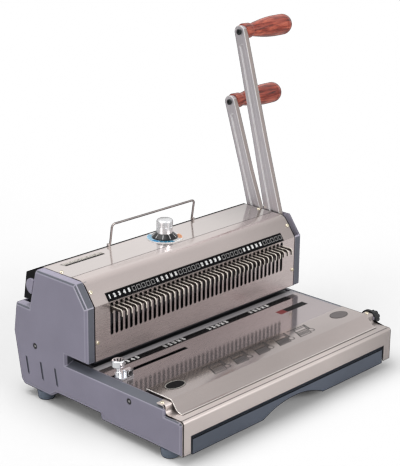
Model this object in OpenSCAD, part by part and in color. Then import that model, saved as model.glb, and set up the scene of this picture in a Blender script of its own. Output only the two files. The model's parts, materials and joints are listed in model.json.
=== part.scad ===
// Desk wire binding machine: a hand punch with a row of square dies and selector pulls,
// a wire closer along the back, two hand levers on the right and a chip drawer below.
// Millimetres. X runs to the right, Y to the rear, Z up from the ground.

/* [Body] */
// Overall width over the side panels
body_w = 418; // [412:1:440]
// Depth from the front face to the rearmost point of the side panels
body_d = 312; // [305:1:330]
// Height of the steel top above the ground
body_h = 181.5; // [176:0.5:192]
// Height of the paper table above the ground
table_h = 69; // [66:0.5:72]
// Height of the wire closer at the back, from its ledge up to the steel top
closer_h = 56; // [54.5:0.5:59]
// Depth of the wire closer behind the rear edge of the steel top
closer_d = 46; // [44:0.5:48]
// Height of the rubber feet
foot_h = 12; // [10:0.5:13]
// Radius of the rubber feet
foot_r = 12; // [9:0.5:13]
// Thickness of the side panel mouldings
panel_t = 14; // [12:0.5:18]
// Wall of the side panel mouldings
panel_wall = 2.5; // [2:0.1:3]
// Chamfer round the outer face of the side panels
panel_edge = 3; // [1:0.5:4]
// Thickness of the steel covers
sheet_t = 1.5; // [1:0.1:2]
// Thickness of the inner frame plates
frame_t = 4; // [3:0.5:5]

/* [Housing] */
// Depth of the upper housing from its front face to the rear of the machine
housing_d = 145; // [143:0.5:147]
// Depth of the bevel above the front face
bevel_y = 21; // [19:0.5:23]
// Height of the bevel above the front face
bevel_z = 28.5; // [26:0.5:30]
// Depth of the upper cover from its front face to its seam with the top plate
seam_d = 43; // [33:0.5:47]
// Height of the open throat over the paper table
throat_h = 10; // [8:0.5:12]
// Depth of the open throat behind the front face of the housing
throat_d = 41; // [40:0.5:45]

/* [Punch] */
// Spacing of the holes, three to the inch
hole_pitch = 8.467; // [8:0.001:8.6]
// Width of each square punch pin
pin_w = 4; // [3:0.1:4.5]
// Gap that the paper enters
paper_gap = 2.5; // [2:0.1:3.5]
// Thickness of the die plate
die_t = 10; // [8:0.5:12]
// Width of each slot in the upper cover
slot_w = 5.2; // [3.5:0.1:5.5]
// Length of each slot in the upper cover
slot_l = 44; // [38:0.5:46]
// Thickness of each selector pull
pull_t = 1.7; // [1:0.1:2.2]
// How far each selector pull reaches out of the cover
pull_reach = 20; // [15:0.5:24]
// How far a bank of selector pulls draws out
pull_travel = 8; // [5:0.5:10]

/* [Levers] */
// Length of the punch lever from its shaft to its grip
punch_lever_l = 296; // [240:1:320]
// Lean of the punch lever at rest, backwards from upright
punch_lean = 15.3; // [12:0.1:17]
// Swing of the punch lever
punch_swing = 75; // [60:1:80]
// Length of the closer lever from its shaft to its grip
closer_lever_l = 190; // [150:1:220]
// Lean of the closer lever at rest, backwards from upright
closer_lean = 18.8; // [17:0.1:22]
// Swing of the closer lever
closer_swing = 60; // [45:1:62]
// Thickness of both levers
lever_t = 7.5; // [5:0.5:8]
// Length of each wooden grip
grip_l = 101; // [80:1:120]
// Largest radius of each wooden grip
grip_r = 15; // [12:0.5:18]
// Radius of the punch shaft
punch_shaft_r = 7; // [5:0.5:8]
// Radius of the closer shaft
closer_shaft_r = 6; // [5:0.5:7]
// Height of the shafts below the steel top
shaft_drop = 31.5; // [31:0.5:33]

/* [Controls] */
// Radius of the dial under the wire size knob
dial_r = 25; // [20:0.5:27]
// Radius of the wire size knob at its skirt
knob_r = 18; // [15:0.5:19]
// Height of the wire size knob above the steel top
knob_h = 26.5; // [24:0.5:36]
// Height of the wire bail above the steel top
bail_h = 33.5; // [25:0.5:40]
// Half the distance between the legs of the wire bail
bail_half = 79; // [60:1:90]
// Radius of the bail's wire
bail_wire_r = 1.2; // [1:0.1:2]
// Radius of the margin knob
margin_knob_r = 13; // [11:0.5:17]
// Width of the side guide's slot in the table
guide_slot_w = 5; // [4:0.5:7]

/* [Drawer] */
// Height of the drawer opening's top above the ground
drawer_top = 35; // [33:0.5:38]
// Room for a runner on each side of the drawer's tray
tray_side = 10; // [9:0.5:22]
// Wall of the drawer
drawer_wall = 1.8; // [1.2:0.1:2.5]
// Half width of the finger arch
arch_half = 60; // [45:1:70]
// Height of the finger arch
arch_h = 14; // [10:0.5:16]

/* [Hidden] */
$fn = 48;

// Clearances: running fits on a radius, sliding gaps, gaps between separate covers
run_fit = 0.05;
slide_gap = 0.3;
seam_gap = 0.2;
pin_gap = 0.1;
tiny = 0.01;

// Widths across the machine, as half sizes from its middle
half_w = body_w / 2;
cover_half = half_w - panel_t;
frame_gap = 3;
frame_out = cover_half - frame_gap;
frame_in = frame_out - frame_t;

// Places along the depth
housing_y = body_d - housing_d;
seam_y = housing_y + seam_d;
throat_y = housing_y + throat_d;
top_rear_y = body_d - closer_d;

// Heights
ledge_h = body_h - closer_h;
pan_t = 2;
floor_z = foot_h + pan_t;
table_low = table_h - sheet_t;
housing_low = table_h + throat_h;
top_low = body_h - sheet_t;
bevel_low = body_h - bevel_z;
shaft_z = body_h - shaft_drop;

// Bevel of the upper housing: its lean from upright, and the mitre of an offset there
bevel_lean = atan2(bevel_y, bevel_z);
function cover_line(off) = [
    [housing_y + off, housing_low],
    [housing_y + off, bevel_low - off * tan(bevel_lean / 2)],
    [housing_y + bevel_y + off * tan((90 - bevel_lean) / 2), body_h - off]
];

// Front panel: a bent sheet with a ledge, a rise and a flange that meets the table
ledge_drop = 12;
front_ledge = table_h - ledge_drop;
front_r = 4;
rise_y = 31;
rise_r = 5;
lip_r = 3;
flange_y = 44;
front_half = half_w - panel_wall;
function front_line(off) = concat(
    [[off, foot_h]],
    arc([front_r, front_ledge - front_r], front_r - off, 180, 90),
    arc([rise_y - rise_r, front_ledge + rise_r], rise_r + off, 270, 360),
    arc([rise_y + lip_r, table_h - lip_r], lip_r - off, 180, 90),
    [[flange_y, table_h - off]]
);

// Front cover over the front of the table
front_cover_t = 1.2;
front_cover_h = table_h + 3;
front_cover_y = 76;
front_cover_side = 2;
front_cover_half = cover_half - front_cover_side;
nose_y = 35;
nose_toe_y = 15;
nose_z = front_ledge + front_cover_t;

// Side panel outlines, in Y and Z
base_edge_h = table_h - 5;
rear_waist_z = table_h + 16.5;
rear_waist_in = 6;
rear_foot_in = 12.5;
rear_foot_z = foot_h + 6.7;
rear_toe_in = 19;
rear_t = 2;
rear_low_y = top_rear_y + 13;
panel_top_in = 3.5;
column_low = table_h - 13;
panel_step_y = rise_y - 3;
arch_front = housing_y - 25;
arch_rear = body_d - 72;
arch_top = foot_h + 8;
ledge_end = body_d - rear_waist_in;
function rear_y(z) = body_d - rear_foot_in * (rear_waist_z - z) / (rear_waist_z - rear_foot_z);
upper_outline = concat(
    [[housing_y, housing_low], [housing_y, bevel_low], [housing_y + bevel_y, body_h]],
    [[top_rear_y - panel_top_in, body_h], [top_rear_y, body_h - panel_top_in]],
    [[rear_low_y, ledge_h], [rear_low_y, housing_low]]
);
column_outline = [
    [throat_y, column_low], [rear_y(column_low), column_low], [body_d, rear_waist_z],
    [ledge_end, ledge_h], [throat_y, ledge_h]
];
function base_outline(top) = [
    [panel_step_y, foot_h], [body_d - rear_toe_in, foot_h],
    [body_d - rear_foot_in, rear_foot_z], [rear_y(top), top], [panel_step_y, top]
];
panel_low_front = [
    [0, foot_h], [0, front_ledge - front_r], [front_r, front_ledge], [2 * panel_step_y, front_ledge],
    [2 * panel_step_y, foot_h]
];
panel_screw_at = [[top_rear_y + 2, table_h + 5.5], [front_cover_y + 14, table_h - 13.6]];
panel_screw_r = 2;
panel_head_r = 4;
panel_recess = 2.2;
boss_r = 6;

// Levers: plane, slot in the right panel, places of the shafts
lever_gap = 1;
lever_x = cover_half + lever_gap;
lever_end_x = lever_x + lever_t;
punch_y = housing_y + 38.4;
closer_y = top_rear_y - 27.2;
punch_hub_r = 15;
closer_hub_r = 13;
punch_waist_r = 11.3;
closer_waist_r = 9.6;
lever_tip_r = 9;
square_w = 9;

// Racks and pinions
gear_m = 1.5;
gear_n = 16;
gear_r = gear_m * gear_n / 2;
gear_w = 12;
gear_x = frame_in - 38;
gear_backlash = 0.5;
pressure = 20;
tooth_pitch = PI * gear_m;
addendum = gear_m;
dedendum = 1.25 * gear_m;
punch_stroke = gear_r * punch_swing * PI / 180;
closer_stroke = gear_r * closer_swing * PI / 180;
rack_spare = 11;

// Punch: dies, pins, ram and selector pulls
bank_n = 8;
row_side = 15.5;
bank_pulls = floor((2 * frame_in - 2 * row_side) / hole_pitch / bank_n);
hole_n = bank_n * bank_pulls;
row_half = (hole_n - 1) / 2 * hole_pitch;
ram_front = housing_y + 8.5;
rack_body = 2.5;
ram_rear = punch_y - gear_r - dedendum - rack_body;
pin_y = ram_front + 6.5;
pull_z = shaft_z - 3;
pull_h = 9;
pull_arm = 4;
pull_root_y = housing_y - 2;
pull_tip_y = housing_y - pull_reach;
pull_tip_w = 2.6;
pull_stop = 5;
pull_tie_w = 5;
pull_tie_y = housing_y + sheet_t + pull_stop + pull_travel;
pull_end_y = pull_tie_y + pull_tie_w;
window_half = row_half + 6;
ram_low = pull_z - 29;
ram_top = pull_z + 11;
ram_half = frame_in - 1.5;
guide_low = table_h + paper_gap;
guide_t = 20.5;
guide_top = guide_low + guide_t;
guide_front = ram_front + 0.5;
guide_rear = pin_y + 18;
die_front = housing_y + 5;
pin_low = guide_low + 1.5;
pin_top = pull_z - pull_h - slide_gap - 0.2;
post_r = 4.5;
post_x = (window_half + ram_half) / 2;
post_top = ram_top + 4;

// Return springs round the ram's guide posts
spring_r = 6.2;
spring_wire = 1.4;
spring_turns = 5;
spring_rings = 8;
spring_sides = 6;

// Closer: jaw, guide posts and stop
jaw_half = frame_in - 8;
jaw_low = shaft_z - 6.5;
jaw_nose_h = 6.5;
jaw_plate_t = 5;
jaw_plate_z = jaw_low + jaw_nose_h;
jaw_rear = top_rear_y + 16;
jaw_nose_w = 9;
rack_back = closer_y + gear_r + dedendum;
bar_rear = rack_back + 4.3;
anvil_front = top_rear_y - 4;
anvil_t = 8;
backstop_h = 10.5;
backstop_w = 9;
backstop_edge = 3;
backstop_half = jaw_half - 15;
closer_post_x = jaw_half - 8;
closer_post_y = anvil_front + 5;
closer_post_r = 4;
sleeve_r = 6.5;
sleeve_h = 14;
stop_arm_z = top_low - 4;
stop_half = 5;
stop_t = 3.5;

// Wire size knob, dial and stepped stop cam
knob_y = closer_y - 0.8;
spindle_r = 4;
cam_r = 13;
cam_steps = 6;
cam_rise = 0.8;
cam_angle = 360 / cam_steps;
cam_top = stop_arm_z - closer_stroke - 0.2;
cam_low = shaft_z + closer_shaft_r + 2.3;
dial_t = 1;
skirt_low = body_h + dial_t + slide_gap;
skirt_h = 6.5;
skirt_edge = 1.4;
cap_r = knob_r - 7;
cap_edge = 2.5;
scallop_n = 9;
scallop_r = 3.4;
scallop_deep = 1.1;
scallop_low = 8.5;
scallop_in = 3.2;

// Scale slot on the top plate
gauge_in = 35;
gauge_l = 71;
gauge_x0 = gauge_in - half_w;
gauge_x1 = gauge_x0 + gauge_l;
gauge_y0 = top_rear_y - 20;
gauge_y1 = top_rear_y - 10;
gauge_lean = 3;
gauge_rim = 3;

// Rear cover: a flange behind the steel top, a slope, a steep back and a cheek at its left end
flange_d = 2;
top_plate_y = top_rear_y - flange_d;
rear_flange_y = top_rear_y + 1;
rear_fold = [top_rear_y + 19.4, body_h - 9];
rear_lip = [top_rear_y + 25.7, ledge_h + 10];
rear_line = [[rear_flange_y, body_h], rear_fold, rear_lip];
rear_end_x = half_w - 4;
cheek_t = 1.5;
cheek_gap = 0.4;
cheek_top = body_h - panel_top_in;
function panel_rear_y(z) =
    top_rear_y + (rear_low_y - top_rear_y) * (cheek_top - z) / (cheek_top - ledge_h);

// Round end cap on the cheek, behind the rear edge of the left panel
end_cap_at = [top_rear_y + 8, ledge_h + 30.2];
end_cap_r = 10.7;
end_cap_t = 2.4;

// Wire bail
bail_x = 1.5;
bail_y = top_rear_y - 1.5;
bail_pivot = 2;
bail_lean = 8.9;
bail_bend = 5;
socket_w = 2.5;
socket_d = 3.6;
socket_wall = 0.6;
socket_x = bail_half + bail_wire_r + slide_gap;

// Number strips
strip_half = row_half + 4.9;
strip_t = 0.5;
upper_strip_w = 12.6;
upper_strip_in = 0.2;
lower_strip_y = housing_y - 16;
lower_strip_w = 10;

// Side guide
guide_y = housing_y - 33;
guide_x = -(frame_in - 6.5);
guide_run_x = -68;
guide_stem_l = 8;
guide_slot_x0 = guide_x - guide_stem_l / 2 - 1;
guide_slot_x1 = guide_run_x + guide_stem_l / 2 + 1;
guide_base_t = 2;
guide_base = [[guide_x - 13, guide_y - 17], [guide_x + 7, guide_y - 3.2]];
guide_tongue = [[guide_x - 5, guide_y - 4], [guide_x + 7, guide_y + 6]];
guide_block = [[guide_x - 4, guide_y - 15.5], [guide_x + 7, guide_y - 8]];
guide_block_h = 10;
guide_recess_r = 3.6;
guide_recess = 3;
thumb_x = guide_x - 8.5;
thumb_y = guide_y - 5;
thumb_boss_r = 4.5;
thumb_boss_h = 6;
thumb_r = 8.2;
thumb_cap_h = 9.5;
thumb_neck_h = 8;
thumb_screw_r = 1.5;

// Margin knob, its crank and the back gauge that it moves
margin_y = 41;
margin_z = table_h - 11;
margin_shaft_r = 4;
crank_r = 2.5;
crank_e = 2.83;
back_half = row_half + 4.9;
crank_in = 18;
crank_x = back_half - crank_in;
crank_l = 10;
fork_t = 2.5;
fork_gap = 0.3;
strip_x0 = crank_x - 5;
strip_w = 20;
gauge_strip_z = margin_z - 12;
gauge_strip_t = 2;
back_y = pin_y + 8;
back_rear = pin_y + 24;

// Drawer and its runners
tray_half = frame_in - tray_side;
opening_half = cover_half - 2.5;
drawer_front_t = 3.5;
drawer_gap = 3;
drawer_rear = throat_y - 3;
drawer_low = foot_h - 2.5;
runner_t = 3;
rail_w = 6;
rail_in = 8;
runner_z = drawer_top - 9;
tray_top = runner_z + runner_t + slide_gap + drawer_wall;
tray_low = drawer_low + arch_h + 1.5;

// Cover screws: place on the Y and Z outline and direction of the head
screw_r = 1.5;
screw_head_r = 2.7;
screw_head_h = 1.6;
cross_l = 3.4;
cross_w = 0.8;
screw_l = 6;
screw_x = (frame_in + frame_out) / 2;
front_screw_z = housing_low + 25;
bevel_screw = 0.55;
top_screw_y = top_rear_y - 32.5;
end_screw_x = cover_half + 7;
end_screw_y = rise_y + 8;

// Grip bolts
bolt_r = 4;
bolt_head_r = 4.3;
bolt_head_h = 2;
bolt_depth = 45;
bolt_socket = 1.3;
bolt_socket_r = 2.5;

// Box of the whole machine, whose bottom centre is the origin
closer_end = [closer_y + closer_lever_l * sin(closer_lean), shaft_z + closer_lever_l * cos(closer_lean)];
punch_end = [punch_y + punch_lever_l * sin(punch_lean), shaft_z + punch_lever_l * cos(punch_lean)];
mid_x = (lever_end_x + grip_l - half_w) / 2;
mid_y = max(body_d, closer_end[0] + grip_r, punch_end[0] + grip_r) / 2;

// Points of an arc about c, and of a cubic curve
function arc(c, r, a0, a1, n = 8) =
    [for (i = [0:n]) c + r * [cos(a0 + (a1 - a0) * i / n), sin(a0 + (a1 - a0) * i / n)]];
function cubic(p, t) =
    pow(1 - t, 3) * p[0] + 3 * t * pow(1 - t, 2) * p[1] + 3 * t * t * (1 - t) * p[2] + pow(t, 3) * p[3];
function cubic_side(p, t, off) =
    let (d = cubic(p, min(t + tiny, 1)) - cubic(p, max(t - tiny, 0)))
    cubic(p, t) + off * [-d[1], d[0]] / norm(d);
function reversed(list) = [for (i = [len(list) - 1:-1:0]) list[i]];

// A line of points moved sideways by t, to the right of its direction, with mitred corners
function inset(line, t) = [for (i = [0:len(line) - 1])
    let (
        last = len(line) - 1,
        a = unit(line[max(i, 1)] - line[max(i, 1) - 1]),
        b = unit(line[min(i, last - 1) + 1] - line[min(i, last - 1)]),
        side = [a[1] + b[1], -a[0] - b[0]]
    )
    line[i] + t * side / (1 + a * b)];
function unit(v) = v / norm(v);

// Moves the machine so that its origin is at the bottom centre of its box
module place() {
    translate([-mid_x, -mid_y, 0]) children();
}

// A Y and Z outline run along X from x0 to x1
module along_x(x0, x1) {
    translate([x0, 0, 0]) rotate([90, 0, 90]) linear_extrude(x1 - x0) children();
}

module box(x0, x1, y0, y1, z0, z1) {
    translate([x0, y0, z0]) cube([x1 - x0, y1 - y0, z1 - z0]);
}

// A round bar along X
module bar_x(x0, x1, y, z, r) {
    translate([x0, y, z]) rotate([0, 90, 0]) cylinder(h = x1 - x0, r = r);
}

module both_sides() {
    children();
    mirror([1, 0, 0]) children();
}

// The row of square holes or pins at the hole pitch
module hole_row(w, z0, z1) {
    for (i = [0:hole_n - 1])
        translate([i * hole_pitch - row_half - w / 2, pin_y - w / 2, z0]) cube([w, w, z1 - z0]);
}

// A sheet of thickness t whose outer face follows outer and whose inner face follows inner
module sheet_section(outer, inner) {
    polygon(concat(outer, reversed(inner)));
}

// Chassis

module base_pan() {
    color("#8d8a8c") place() difference() {
        box(-frame_out - 2, frame_out + 2, 6, body_d - rear_toe_in - rear_t - seam_gap, foot_h, floor_z);
        box(-tray_half - 5, tray_half + 5, 0, throat_y, foot_h - 1, floor_z + 1);
    }
}

frame_front_y = 8;
frame_side = 2;
frame_ledge = front_ledge - 3;
frame_rear_y = body_d - 22;
frame_rear_in = 6;
horn_z = body_h - 13;
frame_outline = concat(
    [[frame_front_y, floor_z], [frame_rear_y, floor_z], [frame_rear_y, ledge_h - 1]],
    [[rear_low_y - frame_rear_in, ledge_h - 1], [top_rear_y - frame_rear_in, horn_z]],
    [[rear_flange_y - sheet_t, horn_z], [rear_flange_y - sheet_t, top_low]],
    [cover_line(sheet_t)[2], cover_line(sheet_t)[1]],
    [[housing_y + sheet_t, housing_low + 1], [throat_y + 4, housing_low + 1], [throat_y + 4, table_low]],
    [[rise_y + lip_r, table_low], [rise_y + frame_side, table_low - lip_r], [rise_y + frame_side, frame_ledge]],
    [[frame_front_y, frame_ledge]]
);
bush_wall = 3;
bush_flange = 2;

// Right-hand frame plate; the left one is its mirror image
module frame_plate() {
    color("#a9a7aa") difference() {
        along_x(frame_in, frame_out) polygon(frame_outline);
        bar_x(frame_in - 1, frame_out + 1, punch_y, shaft_z, punch_shaft_r + bush_wall);
        bar_x(frame_in - 1, frame_out + 1, closer_y, shaft_z, closer_shaft_r + bush_wall);
        bar_x(frame_in - 1, frame_out + 1, margin_y, margin_z, margin_shaft_r + run_fit);
        for (p = panel_screw_at) bar_x(frame_in - 1, frame_out + 1, p[0], p[1], panel_screw_r + run_fit);
        cover_screw_places() screw_hole();
    }
}

module left_frame_plate() {
    place() mirror([1, 0, 0]) frame_plate();
}

module right_frame_plate() {
    place() frame_plate();
}

// Part of a side panel with a chamfer round its outer face
module chamfered_plate(outline) {
    translate([cover_half, 0, 0]) rotate([90, 0, 90]) hull() {
        linear_extrude(panel_t - panel_edge) polygon(outline);
        linear_extrude(panel_t) offset(delta = -panel_edge) polygon(outline);
    }
}

// Base part of a side panel: its top edge falls away outwards
module sloped_base() {
    drop = (table_h - base_edge_h) * (panel_t - panel_edge) / panel_t;
    translate([cover_half, 0, 0]) rotate([90, 0, 90]) hull() {
        linear_extrude(tiny) polygon(base_outline(table_h));
        linear_extrude(panel_t - panel_edge) polygon(base_outline(table_h - drop));
        linear_extrude(panel_t) offset(delta = -panel_edge) polygon(base_outline(base_edge_h + panel_edge));
    }
}

// Room for the front panel and all in front of it, within the side panels' outer walls
front_clear = [[flange_y, table_h + 1], [-1, table_h + 1], [-1, foot_h - 1], [sheet_t, foot_h - 1]];

module panel_arch() {
    polygon([[arch_front, 0], [arch_front, foot_h], [arch_front + 2, arch_top],
             [arch_rear - 12, arch_top], [arch_rear, foot_h], [arch_rear, 0]]);
}

module panel_cavity() {
    offset(delta = -panel_wall) difference() {
        union() {
            polygon(upper_outline);
            polygon(column_outline);
            polygon(base_outline(base_edge_h));
            polygon(panel_low_front);
        }
        panel_arch();
    }
}

// Right-hand side panel without the lever slot; the left one is its mirror image
module side_panel() {
    groove_top = table_h - 14;
    groove_low = table_h - 38;
    groove_w = 3.6;
    groove_lean = 4.5;
    groove_deep = 1.4;
    groove_back = [27.5, 56.5, 85];
    difference() {
        union() {
            difference() {
                union() {
                    chamfered_plate(upper_outline);
                    chamfered_plate(column_outline);
                    sloped_base();
                    chamfered_plate(panel_low_front);
                }
                along_x(cover_half - 1, half_w - panel_wall) panel_cavity();
                along_x(cover_half - 1, front_half) polygon(concat(front_line(sheet_t), front_clear));
            }
            for (p = panel_screw_at) bar_x(frame_out, half_w - panel_wall + tiny, p[0], p[1], boss_r);
        }
        along_x(cover_half - 1, half_w + 1) panel_arch();
        hull() {
            along_x(half_w - panel_edge - tiny, half_w - panel_edge) panel_arch();
            along_x(half_w, half_w + tiny) offset(delta = panel_edge) panel_arch();
        }
        for (p = panel_screw_at) {
            bar_x(frame_out - 1, half_w + 1, p[0], p[1], panel_screw_r + run_fit);
            bar_x(half_w - panel_recess, half_w + 1, p[0], p[1], panel_head_r + slide_gap);
        }
        for (y = [for (back = groove_back) body_d - back])
            along_x(half_w - groove_deep, half_w + 1)
                polygon([[y - groove_lean, groove_low], [y - groove_lean + groove_w, groove_low],
                         [y + groove_w, groove_top], [y, groove_top]]);
    }
}

module left_side_panel() {
    color("#827c8c") place() mirror([1, 0, 0]) side_panel();
}

// The right panel is open above the shafts, where both levers swing, and has the margin knob's hole
slot_low = bevel_low + 0.5;
slot_rear_low = shaft_z - 8;
module right_side_panel() {
    color("#827c8c") place() difference() {
        side_panel();
        along_x(cover_half - 1, half_w - panel_wall)
            polygon([[housing_y - 1, slot_low], [closer_y, slot_low], [closer_y, slot_rear_low],
                     [body_d, slot_rear_low], [body_d, body_h + 1], [housing_y - 1, body_h + 1]]);
        bar_x(cover_half - 1, half_w + 1, margin_y, margin_z, margin_shaft_r + slide_gap);
    }
}

module front_panel() {
    color("#cdc3be") place() difference() {
        along_x(-front_half, front_half) sheet_section(front_line(0), front_line(sheet_t));
        box(-opening_half, opening_half, -1, sheet_t + 1, 0, drawer_top);
        both_sides() translate([end_screw_x, end_screw_y, 0]) cylinder(h = body_h, r = screw_r + run_fit);
    }
}

// Curve of the front cover's nose, from its flat top down to the ledge
nose = [[nose_y, front_cover_h], [nose_y - 6.5, front_cover_h], [nose_y - 7, nose_z], [nose_toe_y, nose_z]];
nose_steps = 14;
module front_cover() {
    lip_in = front_cover_y - front_cover_t;
    outer = [for (i = [0:nose_steps]) cubic(nose, i / nose_steps)];
    inner = [for (i = [0:nose_steps]) cubic_side(nose, i / nose_steps, front_cover_t)];
    color("#c3b8b4") place() along_x(-front_cover_half, front_cover_half)
        polygon(concat(
            [[front_cover_y, table_h], [front_cover_y, front_cover_h]], outer, reversed(inner),
            [[lip_in, front_cover_h - front_cover_t], [lip_in, table_h]]
        ));
}

module table_plate() {
    slot_r = guide_slot_w / 2;
    color("#c9bfbb") place() difference() {
        box(-cover_half + seam_gap, cover_half - seam_gap, flange_y + seam_gap, die_front, table_low, table_h);
        box(guide_slot_x0, guide_slot_x1, guide_y - slot_r, guide_y + slot_r, 0, body_h);
    }
}

module upper_cover() {
    color("#a59b98") place() difference() {
        along_x(-cover_half + seam_gap, cover_half - seam_gap)
            sheet_section(concat(cover_line(0), [[seam_y - seam_gap, body_h]]),
                          concat(cover_line(sheet_t), [[seam_y - seam_gap, top_low]]));
        for (i = [0:hole_n - 1])
            translate([i * hole_pitch - row_half, housing_y - 1, bevel_low - 1 - slot_l / 2])
                rotate([-90, 0, 0]) linear_extrude(sheet_t + 2) {
                    square([slot_w, slot_l - slot_w], center = true);
                    for (s = [-1, 1]) translate([0, s * (slot_l - slot_w) / 2]) circle(d = slot_w);
                }
        both_sides() cover_screw_places() screw_hole();
    }
}

module top_plate() {
    color("#d7cdcb") place() difference() {
        box(-cover_half + seam_gap, cover_half - seam_gap, seam_y + seam_gap, top_plate_y, top_low, body_h);
        translate([0, knob_y, 0]) cylinder(h = body_h + 1, r = spindle_r + run_fit);
        translate([0, 0, top_low - 1]) linear_extrude(sheet_t + 2) gauge_window();
        both_sides() cover_screw_places() screw_hole();
    }
}

module gauge_window() {
    polygon([[gauge_x0 + gauge_lean, gauge_y0], [gauge_x1, gauge_y0],
             [gauge_x1, gauge_y1], [gauge_x0, gauge_y1]]);
}

module gauge_plate() {
    color("#e6e0da") place()
        box(gauge_x0 - gauge_rim, gauge_x1 + gauge_rim, gauge_y0 - gauge_rim, gauge_y1 + gauge_rim,
            top_low - 1, top_low);
}

module rear_cover() {
    flange = concat([[top_plate_y + seam_gap, body_h]], rear_line);
    cheek = concat(rear_line, [for (z = [rear_lip[1], cheek_top]) [panel_rear_y(z) + cheek_gap, z]]);
    color("#1c1c1e") place() {
        along_x(-cover_half + seam_gap, cover_half - seam_gap) sheet_section(flange, inset(flange, sheet_t));
        along_x(-rear_end_x, -cover_half + seam_gap + tiny) sheet_section(rear_line, inset(rear_line, sheet_t));
        along_x(-rear_end_x, -rear_end_x + cheek_t) polygon(cheek);
    }
}

module rear_panel() {
    outer = [[ledge_end, ledge_h], [body_d, rear_waist_z], [body_d - rear_foot_in, rear_foot_z],
             [body_d - rear_toe_in, foot_h]];
    inner = [for (p = outer) p - [rear_t, 0]];
    color("#827c8c") place() along_x(-cover_half + seam_gap, cover_half - seam_gap) sheet_section(outer, inner);
}

// The end cap is cut off where the left panel's rear edge passes it
module closer_end_cap() {
    low = end_cap_at[1] - end_cap_r;
    top = end_cap_at[1] + end_cap_r;
    front = end_cap_at[0] - 2 * end_cap_r;
    color("#8a8494") place() along_x(-rear_end_x - end_cap_t, -rear_end_x) difference() {
        translate(end_cap_at) circle(r = end_cap_r);
        polygon(concat([[front, top], [front, low]], [for (z = [low, top]) [panel_rear_y(z) + cheek_gap, z]]));
    }
}

module die_plate() {
    color("#8f8f92") place() difference() {
        box(-frame_in, frame_in, die_front + seam_gap, guide_rear, table_h - die_t, table_h);
        hole_row(pin_w + 2 * pin_gap, table_h - die_t - 1, table_h + 1);
    }
}

module pin_guide_block() {
    color("#7f7f83") place() difference() {
        box(-frame_in, frame_in, guide_front, guide_rear, guide_low, guide_top);
        hole_row(pin_w + 2 * pin_gap, guide_low - 1, guide_top + 1);
    }
}

module guide_posts() {
    color("#c8c8cc") place() both_sides() {
        translate([post_x, pin_y, guide_top]) cylinder(h = post_top - guide_top, r = post_r);
        translate([closer_post_x, closer_post_y, ledge_h])
            cylinder(h = top_low - 4 - ledge_h, r = closer_post_r);
    }
}

// Helix of a return spring, one ring of points after another
spring_low = guide_top + spring_wire / 2;
spring_high = ram_low - spring_wire / 2;
spring_count = spring_turns * spring_rings;
function spring_mid(i) = [
    spring_r * cos(360 * i / spring_rings), spring_r * sin(360 * i / spring_rings),
    spring_low + (spring_high - spring_low) * i / spring_count
];
function spring_point(i, k) =
    let (a = 360 * i / spring_rings, b = 360 * k / spring_sides)
    spring_mid(i) + spring_wire / 2 * [cos(a) * cos(b), sin(a) * cos(b), sin(b)];
spring_gap = min([for (i = [0:spring_count - spring_rings])
    norm(spring_mid(i + spring_rings) - spring_mid(i))]) - spring_wire;
echo(least_spring_gap = spring_gap);

module ram_springs() {
    n = spring_sides;
    points = [for (i = [0:spring_count], k = [0:n - 1]) spring_point(i, k)];
    sides = [for (i = [0:spring_count - 1], k = [0:n - 1], half = [0, 1])
        half == 0 ? [i * n + k, (i + 1) * n + k, i * n + (k + 1) % n]
                  : [i * n + (k + 1) % n, (i + 1) * n + k, (i + 1) * n + (k + 1) % n]];
    start = [for (k = [1:n - 2]) [0, k, k + 1]];
    last = spring_count * n;
    end = [for (k = [1:n - 2]) [last, last + k + 1, last + k]];
    color("#b0b0b4") place() for (s = [-1, 1])
        translate([s * post_x, pin_y, 0]) polyhedron(points, concat(sides, start, end));
}

module closer_anvil() {
    anvil_rear = ledge_end - rear_t;
    color("#4a4e56") place() {
        box(-frame_in, frame_in, anvil_front, anvil_rear, ledge_h - anvil_t, ledge_h);
        along_x(-backstop_half, backstop_half)
            polygon([[anvil_front, ledge_h - tiny], [anvil_front, ledge_h + backstop_h - backstop_edge],
                     [anvil_front + backstop_edge, ledge_h + backstop_h],
                     [anvil_front + backstop_w - backstop_edge, ledge_h + backstop_h],
                     [anvil_front + backstop_w, ledge_h - tiny]]);
    }
}

// Flanged bearing bushes of both shafts, in both frame plates
module shaft_bushes() {
    color("#b08d57") place() both_sides() {
        shaft_bush(punch_y, punch_shaft_r);
        shaft_bush(closer_y, closer_shaft_r);
    }
}

module shaft_bush(y, r) {
    difference() {
        union() {
            bar_x(frame_in, frame_out, y, shaft_z, r + bush_wall);
            bar_x(frame_in - bush_flange, frame_in, y, shaft_z, r + bush_wall + bush_flange);
        }
        bar_x(frame_in - bush_flange - 1, frame_out + 1, y, shaft_z, r + run_fit);
    }
}

module drawer_runners() {
    color("#9a989b") place() both_sides()
        box(tray_half + 2.5, frame_in, frame_front_y + 2, drawer_rear, runner_z, runner_z + runner_t);
}

// Number strip along the foot of the bevel
module upper_number_strip() {
    color("#101012") place() along_x(-strip_half, strip_half)
        translate([housing_y, bevel_low]) rotate(90 - bevel_lean)
            translate([upper_strip_in, 0]) square([upper_strip_w, strip_t]);
}

// Number strip across the table in front of the throat
module lower_number_strip() {
    color("#101012") place()
        box(-strip_half, strip_half, lower_strip_y, lower_strip_y + lower_strip_w, table_h, table_h + strip_t);
}

module dial_plate() {
    color("#9cc7e0") place() translate([0, knob_y, body_h]) difference() {
        cylinder(h = dial_t, r = dial_r);
        translate([0, 0, -1]) cylinder(h = dial_t + 2, r = spindle_r + run_fit);
    }
}

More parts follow.
